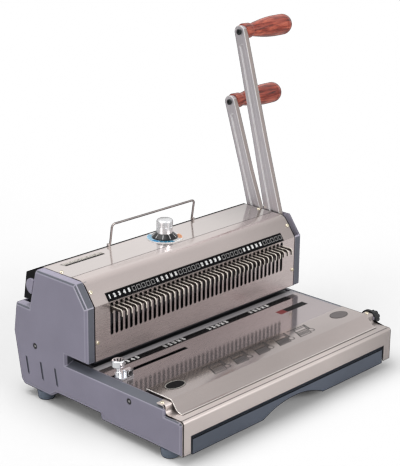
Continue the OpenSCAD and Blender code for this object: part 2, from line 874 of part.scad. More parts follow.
module bail_sockets() {
    color("#2a2a2c") place() translate([bail_x, 0, 0]) both_sides() difference() {
        box(socket_x, socket_x + socket_w, bail_y - socket_d / 2, bail_y + socket_d / 2,
            body_h, body_h + bail_pivot + bail_wire_r + socket_wall);
        bar_x(bail_half, bail_half + 20, bail_y, body_h + bail_pivot, bail_wire_r + run_fit);
    }
}

foot_front_y = 31;
foot_rear_y = body_d - 50;
foot_x = half_w - foot_r - 1;
module feet() {
    color("#161617") place() both_sides() for (y = [foot_front_y, foot_rear_y])
        translate([foot_x, y, 0]) rotate_extrude()
            polygon(concat([[0, 0], [foot_r - 3, 0]], arc([foot_r - 3, 2], 2, -90, 0),
                           [[foot_r, foot_h - 2], [foot_r, foot_h], [0, foot_h]]));
}

// Places of the cover screws on the right-hand side: Z points out of the cover
module cover_screw_places() {
    translate([screw_x, housing_y, front_screw_z]) rotate([90, 0, 0]) children();
    translate([screw_x, housing_y + bevel_y * bevel_screw, bevel_low + bevel_z * bevel_screw])
        rotate([90 - bevel_lean, 0, 0]) children();
    translate([screw_x, top_screw_y, body_h]) children();
}

module screw_hole() {
    translate([0, 0, -screw_l - 1]) cylinder(h = screw_l + 2, r = screw_r + run_fit);
}

module pan_screw(length) {
    translate([0, 0, -length]) cylinder(h = length, r = screw_r);
    difference() {
        rotate_extrude()
            polygon(concat([[0, 0], [screw_head_r, 0]], arc([screw_head_r - 1, screw_head_h - 1], 1, 0, 90),
                           [[0, screw_head_h]]));
        for (a = [0, 90]) rotate(a) translate([0, 0, screw_head_h])
            cube([cross_l, cross_w, cross_w * 2], center = true);
    }
}

module cover_screws() {
    color("#d8c48a") place() both_sides() {
        cover_screw_places() pan_screw(screw_l);
        translate([end_screw_x, end_screw_y, table_h]) pan_screw(sheet_t);
    }
}

module panel_screws() {
    head_x = half_w - panel_recess;
    color("#18181a") place() both_sides() for (p = panel_screw_at) difference() {
        union() {
            bar_x(frame_in, head_x, p[0], p[1], panel_screw_r);
            bar_x(head_x, half_w - 0.4, p[0], p[1], panel_head_r);
        }
        for (a = [0, 90])
            translate([half_w, p[0], p[1]]) rotate([a, 0, 0]) cube([3, 5, 1], center = true);
    }
}

// Punch lever and its shaft

// Involute half angle of a pinion's tooth at radius r
function involute(r) = let (a = acos(min(1, gear_r * cos(pressure) / r))) tan(a) * 180 / PI - a;
function tooth_half(r) =
    90 / gear_n - gear_backlash / 4 / gear_r * 180 / PI + involute(gear_r) - involute(r);
gear_base = gear_r * cos(pressure);
gear_outer = gear_r + addendum;
gear_root = gear_r - dedendum;
flank_steps = 4;
flank = concat([gear_root], [for (i = [0:flank_steps]) gear_base + (gear_outer - gear_base) * i / flank_steps]);
pinion_outline = [for (t = [0:gear_n - 1], side = [-1, 1], k = [0:len(flank) - 1])
    let (
        r = flank[side < 0 ? k : len(flank) - 1 - k],
        a = (t + 0.5) * 360 / gear_n + side * tooth_half(max(r, gear_base))
    )
    r * [cos(a), sin(a)]];

module pinions(y, shaft_r) {
    both_sides() difference() {
        along_x(gear_x - gear_w / 2, gear_x + gear_w / 2) translate([y, shaft_z]) polygon(pinion_outline);
        bar_x(gear_x - gear_w, gear_x + gear_w, y, shaft_z, shaft_r + tiny);
    }
}

// A shaft across the frame with a square end that drives its lever
module lever_shaft(y, r, lean) {
    collar = 2;
    collar_l = 4;
    collar_x = frame_in - bush_flange - slide_gap - collar_l;
    bar_x(-frame_out, frame_out, y, shaft_z, r);
    bar_x(frame_out, lever_x - slide_gap, y, shaft_z, r);
    both_sides() bar_x(collar_x, collar_x + collar_l, y, shaft_z, r + collar);
    translate([0, y, shaft_z]) rotate([-lean, 0, 0])
        box(lever_x - slide_gap - 1, lever_end_x, -square_w / 2, square_w / 2, -square_w / 2, square_w / 2);
}

// A lever: hub, tapering arm and rounded tip, with a long groove on its inner face
module lever_arm(y, lean, length, hub_r, waist_r) {
    waist_at = 0.44 * length;
    groove_w = 8;
    groove_deep = 2.2;
    groove_from = 30;
    groove_to = length - 22;
    hole = square_w + 2 * run_fit;
    difference() {
        translate([0, y, shaft_z]) rotate([-lean, 0, 0]) difference() {
            along_x(lever_x, lever_end_x) {
                circle(r = hub_r);
                translate([0, length]) circle(r = lever_tip_r);
                polygon([[-hub_r, 0], [hub_r, 0], [waist_r, waist_at], [lever_tip_r, length],
                         [-lever_tip_r, length], [-waist_r, waist_at]]);
            }
            along_x(lever_x - 1, lever_x + groove_deep) {
                for (v = [groove_from, groove_to]) translate([0, v]) circle(d = groove_w);
                translate([-groove_w / 2, groove_from]) square([groove_w, groove_to - groove_from]);
            }
            box(lever_x - 1, lever_end_x + 1, -hole / 2, hole / 2, -hole / 2, hole / 2);
            bar_x(lever_x - 1, lever_end_x + 1, 0, length, bolt_r + run_fit);
        }
    }
}

// A turned wooden grip: collar, neck, long bulb with a fine groove, oval end
grip_neck_r = 9;
grip_collar_r = 11;
grip_collar_l = 13;
grip_bulb_from = 18;
bulb_full = 0.8;
grip_steps = 10;
grip_end_l = 13;
groove_half = 0.7;
groove_at = grip_l - grip_end_l - 3;
grip_oval = groove_at + groove_half;
function bulb_r(t) = grip_neck_r + (grip_r - grip_neck_r) * sin(90 * min(1, t / bulb_full));
grip_outline = concat(
    [[0, 0], [grip_collar_r - 0.5, 0], [grip_collar_r, 0.5], [grip_collar_r - 0.4, grip_collar_l - 1]],
    [[grip_collar_r - 1.2, grip_collar_l], [grip_neck_r, grip_bulb_from - 1.5]],
    [for (i = [0:grip_steps])
        [bulb_r(i / grip_steps), grip_bulb_from + (groove_at - groove_half - grip_bulb_from) * i / grip_steps]],
    [[grip_r - groove_half, groove_at]],
    [for (i = [0:grip_steps])
        [grip_r * cos(90 * i / grip_steps), grip_oval + (grip_l - grip_oval) * sin(90 * i / grip_steps)]]
);

module lever_grip(at) {
    translate([lever_end_x, at[0], at[1]]) rotate([0, 90, 0]) difference() {
        rotate_extrude() polygon(grip_outline);
        translate([0, 0, -1]) cylinder(h = bolt_depth + 2, r = bolt_r + run_fit);
    }
}

// Socket head bolt that holds a grip, its head on the lever's inner face
module lever_bolt(at) {
    difference() {
        union() {
            bar_x(lever_x - bolt_head_h, lever_x, at[0], at[1], bolt_head_r);
            bar_x(lever_x - tiny, lever_end_x + bolt_depth, at[0], at[1], bolt_r);
        }
        translate([lever_x - bolt_head_h - 1, at[0], at[1]]) rotate([0, 90, 0])
            cylinder(h = bolt_socket + 1, r = bolt_socket_r, $fn = 6);
    }
}

module punch_shaft() {
    color("#9fa0a5") place() lever_shaft(punch_y, punch_shaft_r, punch_lean);
}

module punch_pinions() {
    color("#77787c") place() pinions(punch_y, punch_shaft_r);
}

module punch_lever() {
    color("#beb6ba") place() lever_arm(punch_y, punch_lean, punch_lever_l, punch_hub_r, punch_waist_r);
}

module punch_grip() {
    color("#96463c") place() lever_grip(punch_end);
}

module punch_grip_bolt() {
    color("#1b1b1d") place() lever_bolt(punch_end);
}

// Ram, pins and selector pulls

// A rack's teeth along Z, facing +Y from its root line at y = 0
module rack_outline(z0, z1, body) {
    half = tooth_pitch / 4 - gear_backlash / 4;
    tip = half - addendum * tan(pressure);
    root = half + dedendum * tan(pressure);
    first = ceil((z0 + root - shaft_z) / tooth_pitch);
    last = floor((z1 - root - shaft_z) / tooth_pitch);
    translate([-body, z0]) square([body, z1 - z0]);
    for (k = [first:last]) translate([0, shaft_z + k * tooth_pitch])
        polygon([[-tiny, -root], [addendum + dedendum, -tip], [addendum + dedendum, tip], [-tiny, root]]);
}

module punch_ram() {
    color("#6f7076") place() difference() {
        box(-ram_half, ram_half, ram_front, ram_rear, ram_low, ram_top);
        box(-window_half, window_half, ram_front - 1, ram_rear + 1,
            pull_z - pull_h - slide_gap, pull_z + slide_gap);
        hole_row(pin_w + 2 * pin_gap, ram_low - 1, pull_z - pull_h);
        for (s = [-1, 1]) translate([s * post_x, pin_y, ram_low - 1])
            cylinder(h = ram_top - ram_low + 2, r = post_r + run_fit);
    }
}

module ram_racks() {
    color("#8b8c92") place() both_sides() along_x(gear_x - gear_w / 2, gear_x + gear_w / 2)
        translate([ram_rear + rack_body, 0])
            rack_outline(pull_z - pull_h - 4, shaft_z + punch_stroke + rack_spare, rack_body);
}

module punch_pins() {
    color("#a8a9ad") place() hole_row(pin_w, pin_low, pin_top);
}

// One bank of selector pulls: five hooked fingers on a tie bar inside the ram
pull_outline = concat(
    [[pull_end_y, pull_z - pull_h], [pull_end_y, pull_z]],
    arc([pull_tip_y + pull_arm, pull_z - pull_arm], pull_arm, 90, 180, 6),
    [[pull_tip_y, pull_z - pull_h], [pull_tip_y + pull_tip_w, pull_z - pull_h]],
    arc([pull_tip_y + pull_tip_w + 2, pull_z - pull_arm - 2], 2, 180, 90, 4),
    [[pull_root_y - 3, pull_z - pull_arm], [pull_root_y, pull_z - pull_h]]
);

module selector_bank(index) {
    first_x = index * bank_pulls * hole_pitch - row_half;
    last_x = first_x + (bank_pulls - 1) * hole_pitch;
    color("#b9a79b") place() {
        for (i = [0:bank_pulls - 1])
            translate([first_x + i * hole_pitch, 0, 0]) along_x(-pull_t / 2, pull_t / 2) polygon(pull_outline);
        box(first_x, last_x, pull_tie_y, pull_end_y, pull_z - pull_h, pull_z);
    }
}

module selector_bank_1() { selector_bank(0); }
module selector_bank_2() { selector_bank(1); }
module selector_bank_3() { selector_bank(2); }
module selector_bank_4() { selector_bank(3); }
module selector_bank_5() { selector_bank(4); }
module selector_bank_6() { selector_bank(5); }
module selector_bank_7() { selector_bank(6); }
module selector_bank_8() { selector_bank(7); }

// Closer lever, its shaft and the closing bar

module closer_shaft() {
    color("#9fa0a5") place() lever_shaft(closer_y, closer_shaft_r, closer_lean);
}

module closer_pinions() {
    color("#77787c") place() pinions(closer_y, closer_shaft_r);
}

module closer_lever() {
    color("#beb6ba") place() lever_arm(closer_y, closer_lean, closer_lever_l, closer_hub_r, closer_waist_r);
}

module closer_grip() {
    color("#96463c") place() lever_grip(closer_end);
}

module closer_grip_bolt() {
    color("#1b1b1d") place() lever_bolt(closer_end);
}

// Closing bar: jaw with its nose, sleeves on the guide posts, two racks and the stop arm
module closing_bar() {
    color("#3d4149") place() difference() {
        union() {
            along_x(-jaw_half, jaw_half)
                polygon([[rack_back, jaw_plate_z], [jaw_rear - jaw_nose_w, jaw_plate_z],
                         [jaw_rear - jaw_nose_w + 2, jaw_low], [jaw_rear - 2, jaw_low],
                         [jaw_rear, jaw_plate_z], [jaw_rear, jaw_plate_z + jaw_plate_t],
                         [rack_back, jaw_plate_z + jaw_plate_t]]);
            both_sides() {
                along_x(gear_x - gear_w / 2, gear_x + gear_w / 2) translate([rack_back, 0]) mirror([1, 0])
                    rack_outline(shaft_z - rack_spare, shaft_z + closer_stroke + rack_spare,
                                 bar_rear - rack_back);
                translate([closer_post_x, closer_post_y, jaw_plate_z]) cylinder(h = sleeve_h, r = sleeve_r);
            }
            box(-stop_half, stop_half, rack_back, bar_rear, jaw_plate_z, stop_arm_z + stop_t);
            box(-stop_half, stop_half, knob_y + spindle_r + 2, bar_rear, stop_arm_z, stop_arm_z + stop_t);
        }
        for (s = [-1, 1]) translate([s * closer_post_x, closer_post_y, 0])
            cylinder(h = body_h, r = closer_post_r + run_fit);
    }
}

// Wire size knob

// Spindle with a stepped cam that stops the closing bar's arm
module knob_spindle() {
    color("#a4a5aa") place() translate([0, knob_y, 0]) {
        translate([0, 0, cam_low]) cylinder(h = body_h + knob_h - 4 - cam_low, r = spindle_r);
        difference() {
            translate([0, 0, cam_low]) cylinder(h = cam_top - cam_low, r = cam_r);
            for (i = [1:cam_steps - 1])
                translate([0, 0, cam_top - i * cam_rise]) rotate(90 + (i - 0.5) * cam_angle)
                    linear_extrude(cam_steps * cam_rise)
                        polygon([[0, 0], 2 * [cam_r, 0], 2 * cam_r * [cos(cam_angle), sin(cam_angle)]]);
        }
    }
}

module knob_skirt() {
    color("#141416") place() translate([0, knob_y, skirt_low]) difference() {
        rotate_extrude()
            polygon([[0, 0], [knob_r, 0], [knob_r, skirt_edge], [cap_r + 1, skirt_h], [0, skirt_h]]);
        translate([0, 0, -1]) cylinder(h = skirt_h + 2, r = spindle_r + tiny);
    }
}

// Cap of the knob: a turned cylinder with finger scallops below its rounded top
module knob_cap() {
    cap_low = skirt_low + skirt_h;
    cap_h = body_h + knob_h - cap_low;
    color("#d6d7da") place() translate([0, knob_y, cap_low]) difference() {
        rotate_extrude()
            polygon(concat([[0, 0], [cap_r, 0]], arc([cap_r - cap_edge, cap_h - cap_edge], cap_edge, 0, 90),
                           [[0, cap_h]]));
        translate([0, 0, -1]) cylinder(h = cap_h - 3, r = spindle_r + tiny);
        for (i = [0:scallop_n - 1]) rotate(360 * i / scallop_n)
            translate([cap_r + scallop_r - scallop_deep, 0, scallop_low])
                cylinder(h = cap_h - scallop_in - scallop_low, r = scallop_r);
    }
}

// A block whose opposite corners in X and Y are given, from z up
module block_from(corners, z, h) {
    box(corners[0][0], corners[1][0], corners[0][1], corners[1][1], z, z + h);
}

// Side guide: a plate on the table with a block and a boss, a stem through the slot and a nut below
module side_guide() {
    stem_half = guide_slot_w / 2 - slide_gap;
    low = table_h + slide_gap;
    nut_top = table_low - slide_gap;
    nut_t = 3;
    nut_half = 5;
    recess_x = (guide_block[0][0] + guide_block[1][0]) / 2;
    color("#c4c6ca") place() difference() {
        union() {
            for (corners = [guide_base, guide_tongue]) block_from(corners, low, guide_base_t);
            block_from(guide_block, low, guide_block_h);
            translate([thumb_x, thumb_y, low]) cylinder(h = thumb_boss_h, r = thumb_boss_r);
            translate([guide_x, guide_y, 0]) {
                box(-guide_stem_l / 2, guide_stem_l / 2, -stem_half, stem_half, nut_top - 1, low + 1);
                box(-nut_half, nut_half, -nut_half, nut_half, nut_top - nut_t, nut_top);
            }
        }
        translate([thumb_x, thumb_y, low + 1]) cylinder(h = thumb_boss_h, r = thumb_screw_r + run_fit);
        translate([recess_x, guide_block[0][1] - 1, low + guide_block_h / 2 + 1]) rotate([-90, 0, 0])
            cylinder(h = guide_recess + 1, r = guide_recess_r);
    }
}

// Thumb knob of the side guide: screw, neck and a round cap
module guide_knob() {
    low = table_h + slide_gap;
    neck_r = 2.5;
    neck_z = low + thumb_boss_h + slide_gap;
    color("#d9dadd") place() translate([thumb_x, thumb_y, 0]) {
        translate([0, 0, low + 1 + slide_gap]) cylinder(h = neck_z - low, r = thumb_screw_r);
        translate([0, 0, neck_z]) rotate_extrude()
            polygon(concat([[0, 0], [neck_r + 1, 0], [neck_r, 1.5], [neck_r, thumb_neck_h]],
                           [[thumb_r - 1, thumb_neck_h], [thumb_r, thumb_neck_h + 1]],
                           arc([thumb_r - 1.5, thumb_neck_h + thumb_cap_h - 1.5], 1.5, 0, 90, 4),
                           [[0, thumb_neck_h + thumb_cap_h]]));
    }
}

// Margin knob: flange and grip outside the panel, a shaft and a crank pin inside
module margin_knob() {
    out = half_w + slide_gap;
    flange_t = 3;
    grip_out = 15;
    lobed_r = margin_knob_r - 4;
    lobe_n = 8;
    lobe_r = 2.4;
    color("#151517") place() {
        bar_x(out, out + flange_t, margin_y, margin_z, margin_knob_r);
        difference() {
            bar_x(out + flange_t, out + grip_out, margin_y, margin_z, lobed_r);
            for (i = [0:lobe_n - 1]) translate([0, margin_y, margin_z]) rotate([i * 360 / lobe_n, 0, 0])
                bar_x(out + flange_t, out + grip_out + 1, 0, lobed_r + lobe_r / 2, lobe_r);
        }
        bar_x(crank_x + crank_l, out, margin_y, margin_z, margin_shaft_r);
        bar_x(crank_x + crank_l - 3, crank_x + crank_l + tiny, margin_y, margin_z, crank_e + crank_r + 1);
        bar_x(crank_x, crank_x + crank_l - 3 + tiny, margin_y, margin_z + crank_e, crank_r);
    }
}

// Back gauge: a stop bar in the paper gap, carried on a strip that the crank pin moves
module back_gauge() {
    bar_low = table_h + slide_gap;
    bar_top = guide_low - slide_gap;
    fork_half = crank_r + fork_gap;
    strip_top = gauge_strip_z + gauge_strip_t;
    color("#9b9ca1") place() {
        box(-back_half, back_half, back_y, back_rear, bar_low, bar_top);
        box(strip_x0, strip_x0 + strip_w, back_rear - 2, back_rear, gauge_strip_z, bar_top);
        box(strip_x0, strip_x0 + strip_w, margin_y - fork_half - fork_t, back_rear, gauge_strip_z, strip_top);
        for (y = [margin_y - fork_half - fork_t, margin_y + fork_half])
            box(crank_x + 1, crank_x + crank_l - 4, y, y + fork_t,
                strip_top - tiny, margin_z + crank_e + crank_r + 1);
    }
}

// Chip drawer: tray with side flanges on the runners, and a front with a finger arch
module chip_drawer() {
    front_y = 0.3;
    tray_front = front_y + drawer_front_t - tiny;
    arch_r = (arch_half * arch_half + arch_h * arch_h) / (2 * arch_h);
    front_half = opening_half - drawer_gap;
    color("#48505c") place() {
        along_front(front_y, drawer_front_t) difference() {
            translate([-front_half, drawer_low]) square([2 * front_half, drawer_top - drawer_gap - drawer_low]);
            translate([0, drawer_low + arch_h - arch_r]) circle(r = arch_r, $fn = 96);
        }
        difference() {
            box(-tray_half, tray_half, tray_front, drawer_rear, tray_low, tray_top);
            box(-tray_half + drawer_wall, tray_half - drawer_wall, tray_front + drawer_wall,
                drawer_rear - drawer_wall, tray_low + drawer_wall, tray_top + 1);
        }
        both_sides() box(tray_half - tiny, tray_half + rail_w, tray_front + rail_in, drawer_rear - 2,
                         tray_top - drawer_wall, tray_top);
    }
}

// An X and Z outline run along Y
module along_front(y, t) {
    translate([0, y + t, 0]) rotate([90, 0, 0]) linear_extrude(t) children();
}

// Wire bail: two legs and a cross bar of one bent wire, on pins in its sockets
module wire_bail() {
    rise = bail_h - bail_pivot - bail_wire_r;
    color("#b9bbbf") place() translate([bail_x, bail_y, body_h + bail_pivot]) rotate([bail_lean, 0, 0]) {
        both_sides() {
            translate([bail_half, 0, 0]) cylinder(h = rise - bail_bend, r = bail_wire_r);
            translate([bail_half, 0, 0]) sphere(r = bail_wire_r);
            bar_x(bail_half, socket_x + socket_w, 0, 0, bail_wire_r);
            translate([bail_half - bail_bend, 0, rise - bail_bend]) rotate([90, 0, 0])
                rotate_extrude(angle = 90) translate([bail_bend, 0]) circle(r = bail_wire_r);
        }
        bar_x(-bail_half + bail_bend, bail_half - bail_bend, 0, rise, bail_wire_r);
    }
}

base_pan();
left_frame_plate();
right_frame_plate();
left_side_panel();
right_side_panel();
front_panel();
front_cover();
table_plate();
upper_cover();
top_plate();
rear_cover();
rear_panel();
closer_end_cap();
die_plate();
pin_guide_block();
guide_posts();
ram_springs();
closer_anvil();
shaft_bushes();
drawer_runners();
upper_number_strip();
lower_number_strip();
gauge_plate();
dial_plate();
bail_sockets();
feet();
cover_screws();
panel_screws();
punch_shaft();
punch_pinions();
punch_lever();
punch_grip();
punch_grip_bolt();
punch_ram();
ram_racks();
punch_pins();
selector_bank_1();
selector_bank_2();
selector_bank_3();
selector_bank_4();
selector_bank_5();
selector_bank_6();
selector_bank_7();
selector_bank_8();
closer_shaft();
closer_pinions();
closer_lever();
closer_grip();
closer_grip_bolt();
closing_bar();
knob_spindle();
knob_skirt();
knob_cap();
side_guide();
guide_knob();
margin_knob();
back_gauge();
chip_drawer();
wire_bail();
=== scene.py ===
import json
import math

import bmesh
import bpy
from mathutils import Matrix, Vector

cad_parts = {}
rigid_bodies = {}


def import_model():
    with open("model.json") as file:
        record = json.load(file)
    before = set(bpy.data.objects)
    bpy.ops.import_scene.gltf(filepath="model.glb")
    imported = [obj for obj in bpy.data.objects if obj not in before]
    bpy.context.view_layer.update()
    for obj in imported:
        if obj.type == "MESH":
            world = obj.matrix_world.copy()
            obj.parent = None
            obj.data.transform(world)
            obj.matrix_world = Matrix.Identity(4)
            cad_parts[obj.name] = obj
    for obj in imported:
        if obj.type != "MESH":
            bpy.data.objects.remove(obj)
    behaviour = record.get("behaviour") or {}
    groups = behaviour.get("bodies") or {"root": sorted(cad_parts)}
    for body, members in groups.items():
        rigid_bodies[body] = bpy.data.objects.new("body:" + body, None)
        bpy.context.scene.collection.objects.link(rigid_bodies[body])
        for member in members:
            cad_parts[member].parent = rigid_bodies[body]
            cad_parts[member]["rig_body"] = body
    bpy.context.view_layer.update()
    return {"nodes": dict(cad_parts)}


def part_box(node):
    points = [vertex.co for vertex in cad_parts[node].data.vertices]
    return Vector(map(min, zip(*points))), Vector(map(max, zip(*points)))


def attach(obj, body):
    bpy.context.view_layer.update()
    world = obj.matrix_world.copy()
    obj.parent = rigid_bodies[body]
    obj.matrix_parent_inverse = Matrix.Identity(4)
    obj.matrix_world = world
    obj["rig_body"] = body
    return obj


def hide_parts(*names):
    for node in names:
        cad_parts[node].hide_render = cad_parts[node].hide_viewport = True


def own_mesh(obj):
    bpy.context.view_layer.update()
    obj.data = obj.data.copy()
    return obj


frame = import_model()
nodes = frame["nodes"]
scene = bpy.context.scene
MM = 0.001

# Where the machine's own measures start: its middle, its front face and the ground
cover_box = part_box("upper_cover")
ORIGIN = Vector(((cover_box[0].x + cover_box[1].x) / 2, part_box("front_panel")[0].y, 0))


def at(x, y, z):
    """A place given in millimetres from the machine's middle, front face and ground."""
    return ORIGIN + Vector((x, y, z)) * MM


def measured(place):
    """A place of the frame, as those millimetres."""
    return (Vector(place) - ORIGIN) / MM


def measured_box(node):
    """A solid's lowest and highest corners, in those millimetres."""
    return [measured(corner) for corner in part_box(node)]


# Measures in millimetres that the solids' boxes give
COVER_LOW, COVER_HIGH = measured_box("upper_cover")
HALF, HOUSING_Y, TOP_Z = COVER_HIGH.x, COVER_LOW.y, COVER_HIGH.z
TOP_PLATE_LOW, TOP_PLATE_HIGH = measured_box("top_plate")
TABLE_LOW, TABLE_HIGH = measured_box("table_plate")
TABLE_Z = TABLE_HIGH.z
STRIP_LOW, STRIP_HIGH = measured_box("lower_number_strip")
STRIP_T = STRIP_HIGH.z - STRIP_LOW.z
FRONT_LOW, FRONT_HIGH = measured_box("front_panel")
NOSE_LOW, NOSE_HIGH = measured_box("front_cover")
GAUGE_LOW, GAUGE_HIGH = measured_box("gauge_plate")
DRAWER_LOW, DRAWER_HIGH = measured_box("chip_drawer")
SCREWS_LOW, SCREWS_HIGH = measured_box("panel_screws")

# Measures in millimetres that they don't give
SLOPE_Z = 153
FOLD_Y = 188
FOLD_R = 15
SHEET_T = 1.5
SEAM_X = HALF - 1.4
PANEL_SCREWS = ((268, 74.5), (90, 55.4))
PANEL_T = 13
SLOT_X = (-186.5, -63)
SLOT_Y = (131.5, 136.5)
UPPER_STRIP_MIDDLE = 6.5
HOLES = 40
PITCH = 8.467
THIN = 0.05

# The upper cover's slope, from its foot to the fold
SLOPE_RUN = Vector((0, FOLD_Y - HOUSING_Y, TOP_Z - SLOPE_Z)).normalized()
SLOPE_OUT = Vector((0, -SLOPE_RUN.z, SLOPE_RUN.y))


# Materials

def rgb(r, g, b):
    """A colour given as 0 to 255 screen values, in linear light."""
    def linear(c):
        """One channel."""
        c /= 255
        return c / 12.92 if c <= 0.04045 else ((c + 0.055) / 1.055) ** 2.4
    return (linear(r), linear(g), linear(b), 1)


def grey(value):
    """A grey of a given strength, in linear light."""
    return (value, value, value, 1)


def tint(colour, factor):
    """A colour made lighter or darker."""
    return (*(min(1, c * factor) for c in colour[:3]), 1)


def material(name, colour, roughness, metallic=0.0, specular=0.5):
    """A new material with its node tree and shader."""
    mat = bpy.data.materials.new(name)
    mat.use_nodes = True
    tree = mat.node_tree
    shader = tree.nodes["Principled BSDF"]
    shader.inputs["Base Color"].default_value = colour
    shader.inputs["Roughness"].default_value = roughness
    shader.inputs["Metallic"].default_value = metallic
    shader.inputs["Specular IOR Level"].default_value = specular
    return mat, tree, shader


def noise(tree, scale, stretch=(1, 1, 1), detail=4, turn=(0, 0, 0)):
    """Noise over the surface, drawn out along an axis where stretch is small."""
    coords = tree.nodes.new("ShaderNodeTexCoord")
    mapping = tree.nodes.new("ShaderNodeMapping")
    mapping.inputs["Scale"].default_value = stretch
    mapping.inputs["Rotation"].default_value = turn
    texture = tree.nodes.new("ShaderNodeTexNoise")
    texture.inputs["Scale"].default_value = scale
    texture.inputs["Detail"].default_value = detail
    tree.links.new(coords.outputs["Object"], mapping.inputs["Vector"])
    tree.links.new(mapping.outputs["Vector"], texture.inputs["Vector"])
    return texture.outputs["Fac"]


def ramp(tree, value, stops):
    """Colours along a value: stops are (place, colour)."""
    node = tree.nodes.new("ShaderNodeValToRGB")
    elements = node.color_ramp.elements
    elements[0].position, elements[0].color = stops[0]
    elements[1].position, elements[1].color = stops[-1]
    for place, colour in stops[1:-1]:
        elements.new(place).color = colour
    tree.links.new(value, node.inputs["Fac"])
    return node.outputs["Color"]


def multiply(tree, a, b):
    """The product of two colours."""
    node = tree.nodes.new("ShaderNodeMix")
    node.data_type = "RGBA"
    node.blend_type = "MULTIPLY"
    node.inputs["Factor"].default_value = 1
    tree.links.new(a, node.inputs["A"])
    tree.links.new(b, node.inputs["B"])
    return node.outputs["Result"]


def vary_roughness(tree, shader, value, low, high):
    """Roughness that follows a noise between two values."""
    node = tree.nodes.new("ShaderNodeMapRange")
    node.inputs["From Min"].default_value = 0.3
    node.inputs["From Max"].default_value = 0.7
    node.inputs["To Min"].default_value = max(0.03, low)
    node.inputs["To Max"].default_value = high
    tree.links.new(value, node.inputs["Value"])
    tree.links.new(node.outputs["Result"], shader.inputs["Roughness"])


def bump(tree, shader, value, height, strength):
    """Bumps of a height in metres that follow a noise."""
    node = tree.nodes.new("ShaderNodeBump")
    node.inputs["Strength"].default_value = strength
    node.inputs["Distance"].default_value = height
    tree.links.new(value, node.inputs["Height"])
    tree.links.new(node.outputs["Normal"], shader.inputs["Normal"])


def brushed(name, colour, roughness, metallic=0.85, along=(0.012, 1, 1), depth=0.02):
    """Sheet steel with very fine brush lines along one axis and faint blotches."""
    mat, tree, shader = material(name, colour, roughness, metallic)
    lines = noise(tree, 3600, along, 2)
    blotches = noise(tree, 16, (0.4, 1, 1), 3)
    shade = ramp(tree, lines, [(0.3, tint(colour, 1 - depth)), (0.7, tint(colour, 1 + depth))])
    cloud = ramp(tree, blotches, [(0.35, grey(0.94)), (0.65, grey(1))])
    tree.links.new(multiply(tree, shade, cloud), shader.inputs["Base Color"])
    vary_roughness(tree, shader, lines, roughness - 0.02, roughness + 0.03)
    bump(tree, shader, lines, 0.00001, 0.025)
    return mat


def moulded(name, colour, roughness, grain=900, height=0.00012, specular=0.5):
    """Moulded plastic, paint or rubber: a fine grain and faint unevenness."""
    mat, tree, shader = material(name, colour, roughness, 0, specular)
    fine = noise(tree, grain, detail=2)
    cloud = noise(tree, 22, detail=4)
    speck = ramp(tree, fine, [(0.35, grey(0.93)), (0.65, grey(1))])
    shade = ramp(tree, cloud, [(0.3, tint(colour, 0.95)), (0.7, tint(colour, 1.06))])
    tree.links.new(multiply(tree, shade, speck), shader.inputs["Base Color"])
    vary_roughness(tree, shader, fine, roughness - 0.06, roughness + 0.07)
    bump(tree, shader, fine, height, 0.3)
    return mat


def polished(name, colour, roughness, metallic=1.0):
    """Turned or plated metal with faint smears in its gloss."""
    mat, tree, shader = material(name, colour, roughness, metallic)
    smears = noise(tree, 120, (1, 1, 0.3), 3)
    shade = ramp(tree, smears, [(0.3, tint(colour, 0.88)), (0.7, tint(colour, 1.06))])
    tree.links.new(shade, shader.inputs["Base Color"])
    vary_roughness(tree, shader, smears, roughness - 0.05, roughness + 0.07)
    bump(tree, shader, smears, 0.00001, 0.05)
    return mat


def printed(name, colour, roughness=0.45, specular=0.2):
    """Printed ink or film with a slightly uneven tone."""
    mat, tree, shader = material(name, colour, roughness, 0, specular)
    cloud = noise(tree, 300, detail=3)
    shade = ramp(tree, cloud, [(0.3, tint(colour, 0.88)), (0.7, tint(colour, 1.05))])
    tree.links.new(shade, shader.inputs["Base Color"])
    vary_roughness(tree, shader, cloud, roughness - 0.08, roughness + 0.08)
    bump(tree, shader, cloud, 0.00001, 0.1)
    return mat


def wood(name):
    """Varnished red-brown hardwood, its grain along the grip."""
    dark, middle, light = rgb(78, 24, 18), rgb(174, 76, 57), rgb(218, 118, 92)
    mat, tree, shader = material(name, middle, 0.36, 0, 0.35)
    streaks = noise(tree, 300, (0.1, 1, 1), 6, (0, 0.25, 0.2))
    bands = noise(tree, 90, (0.3, 1, 1), 3, (0, 0.7, 0.5))
    pores = noise(tree, 800, (0.05, 1, 1), 2)
    base = ramp(tree, streaks, [(0.32, dark), (0.47, middle), (0.7, light)])
    broad = ramp(tree, bands, [(0.36, (0.5, 0.4, 0.46, 1)), (0.6, grey(1))])
    dots = ramp(tree, pores, [(0.34, (0.45, 0.38, 0.36, 1)), (0.46, grey(1))])
    tree.links.new(multiply(tree, multiply(tree, base, broad), dots), shader.inputs["Base Color"])
    vary_roughness(tree, shader, pores, 0.28, 0.46)
    shader.inputs["Coat Weight"].default_value = 0.15
    shader.inputs["Coat Roughness"].default_value = 0.2
    bump(tree, shader, pores, 0.00008, 0.3)
    return mat


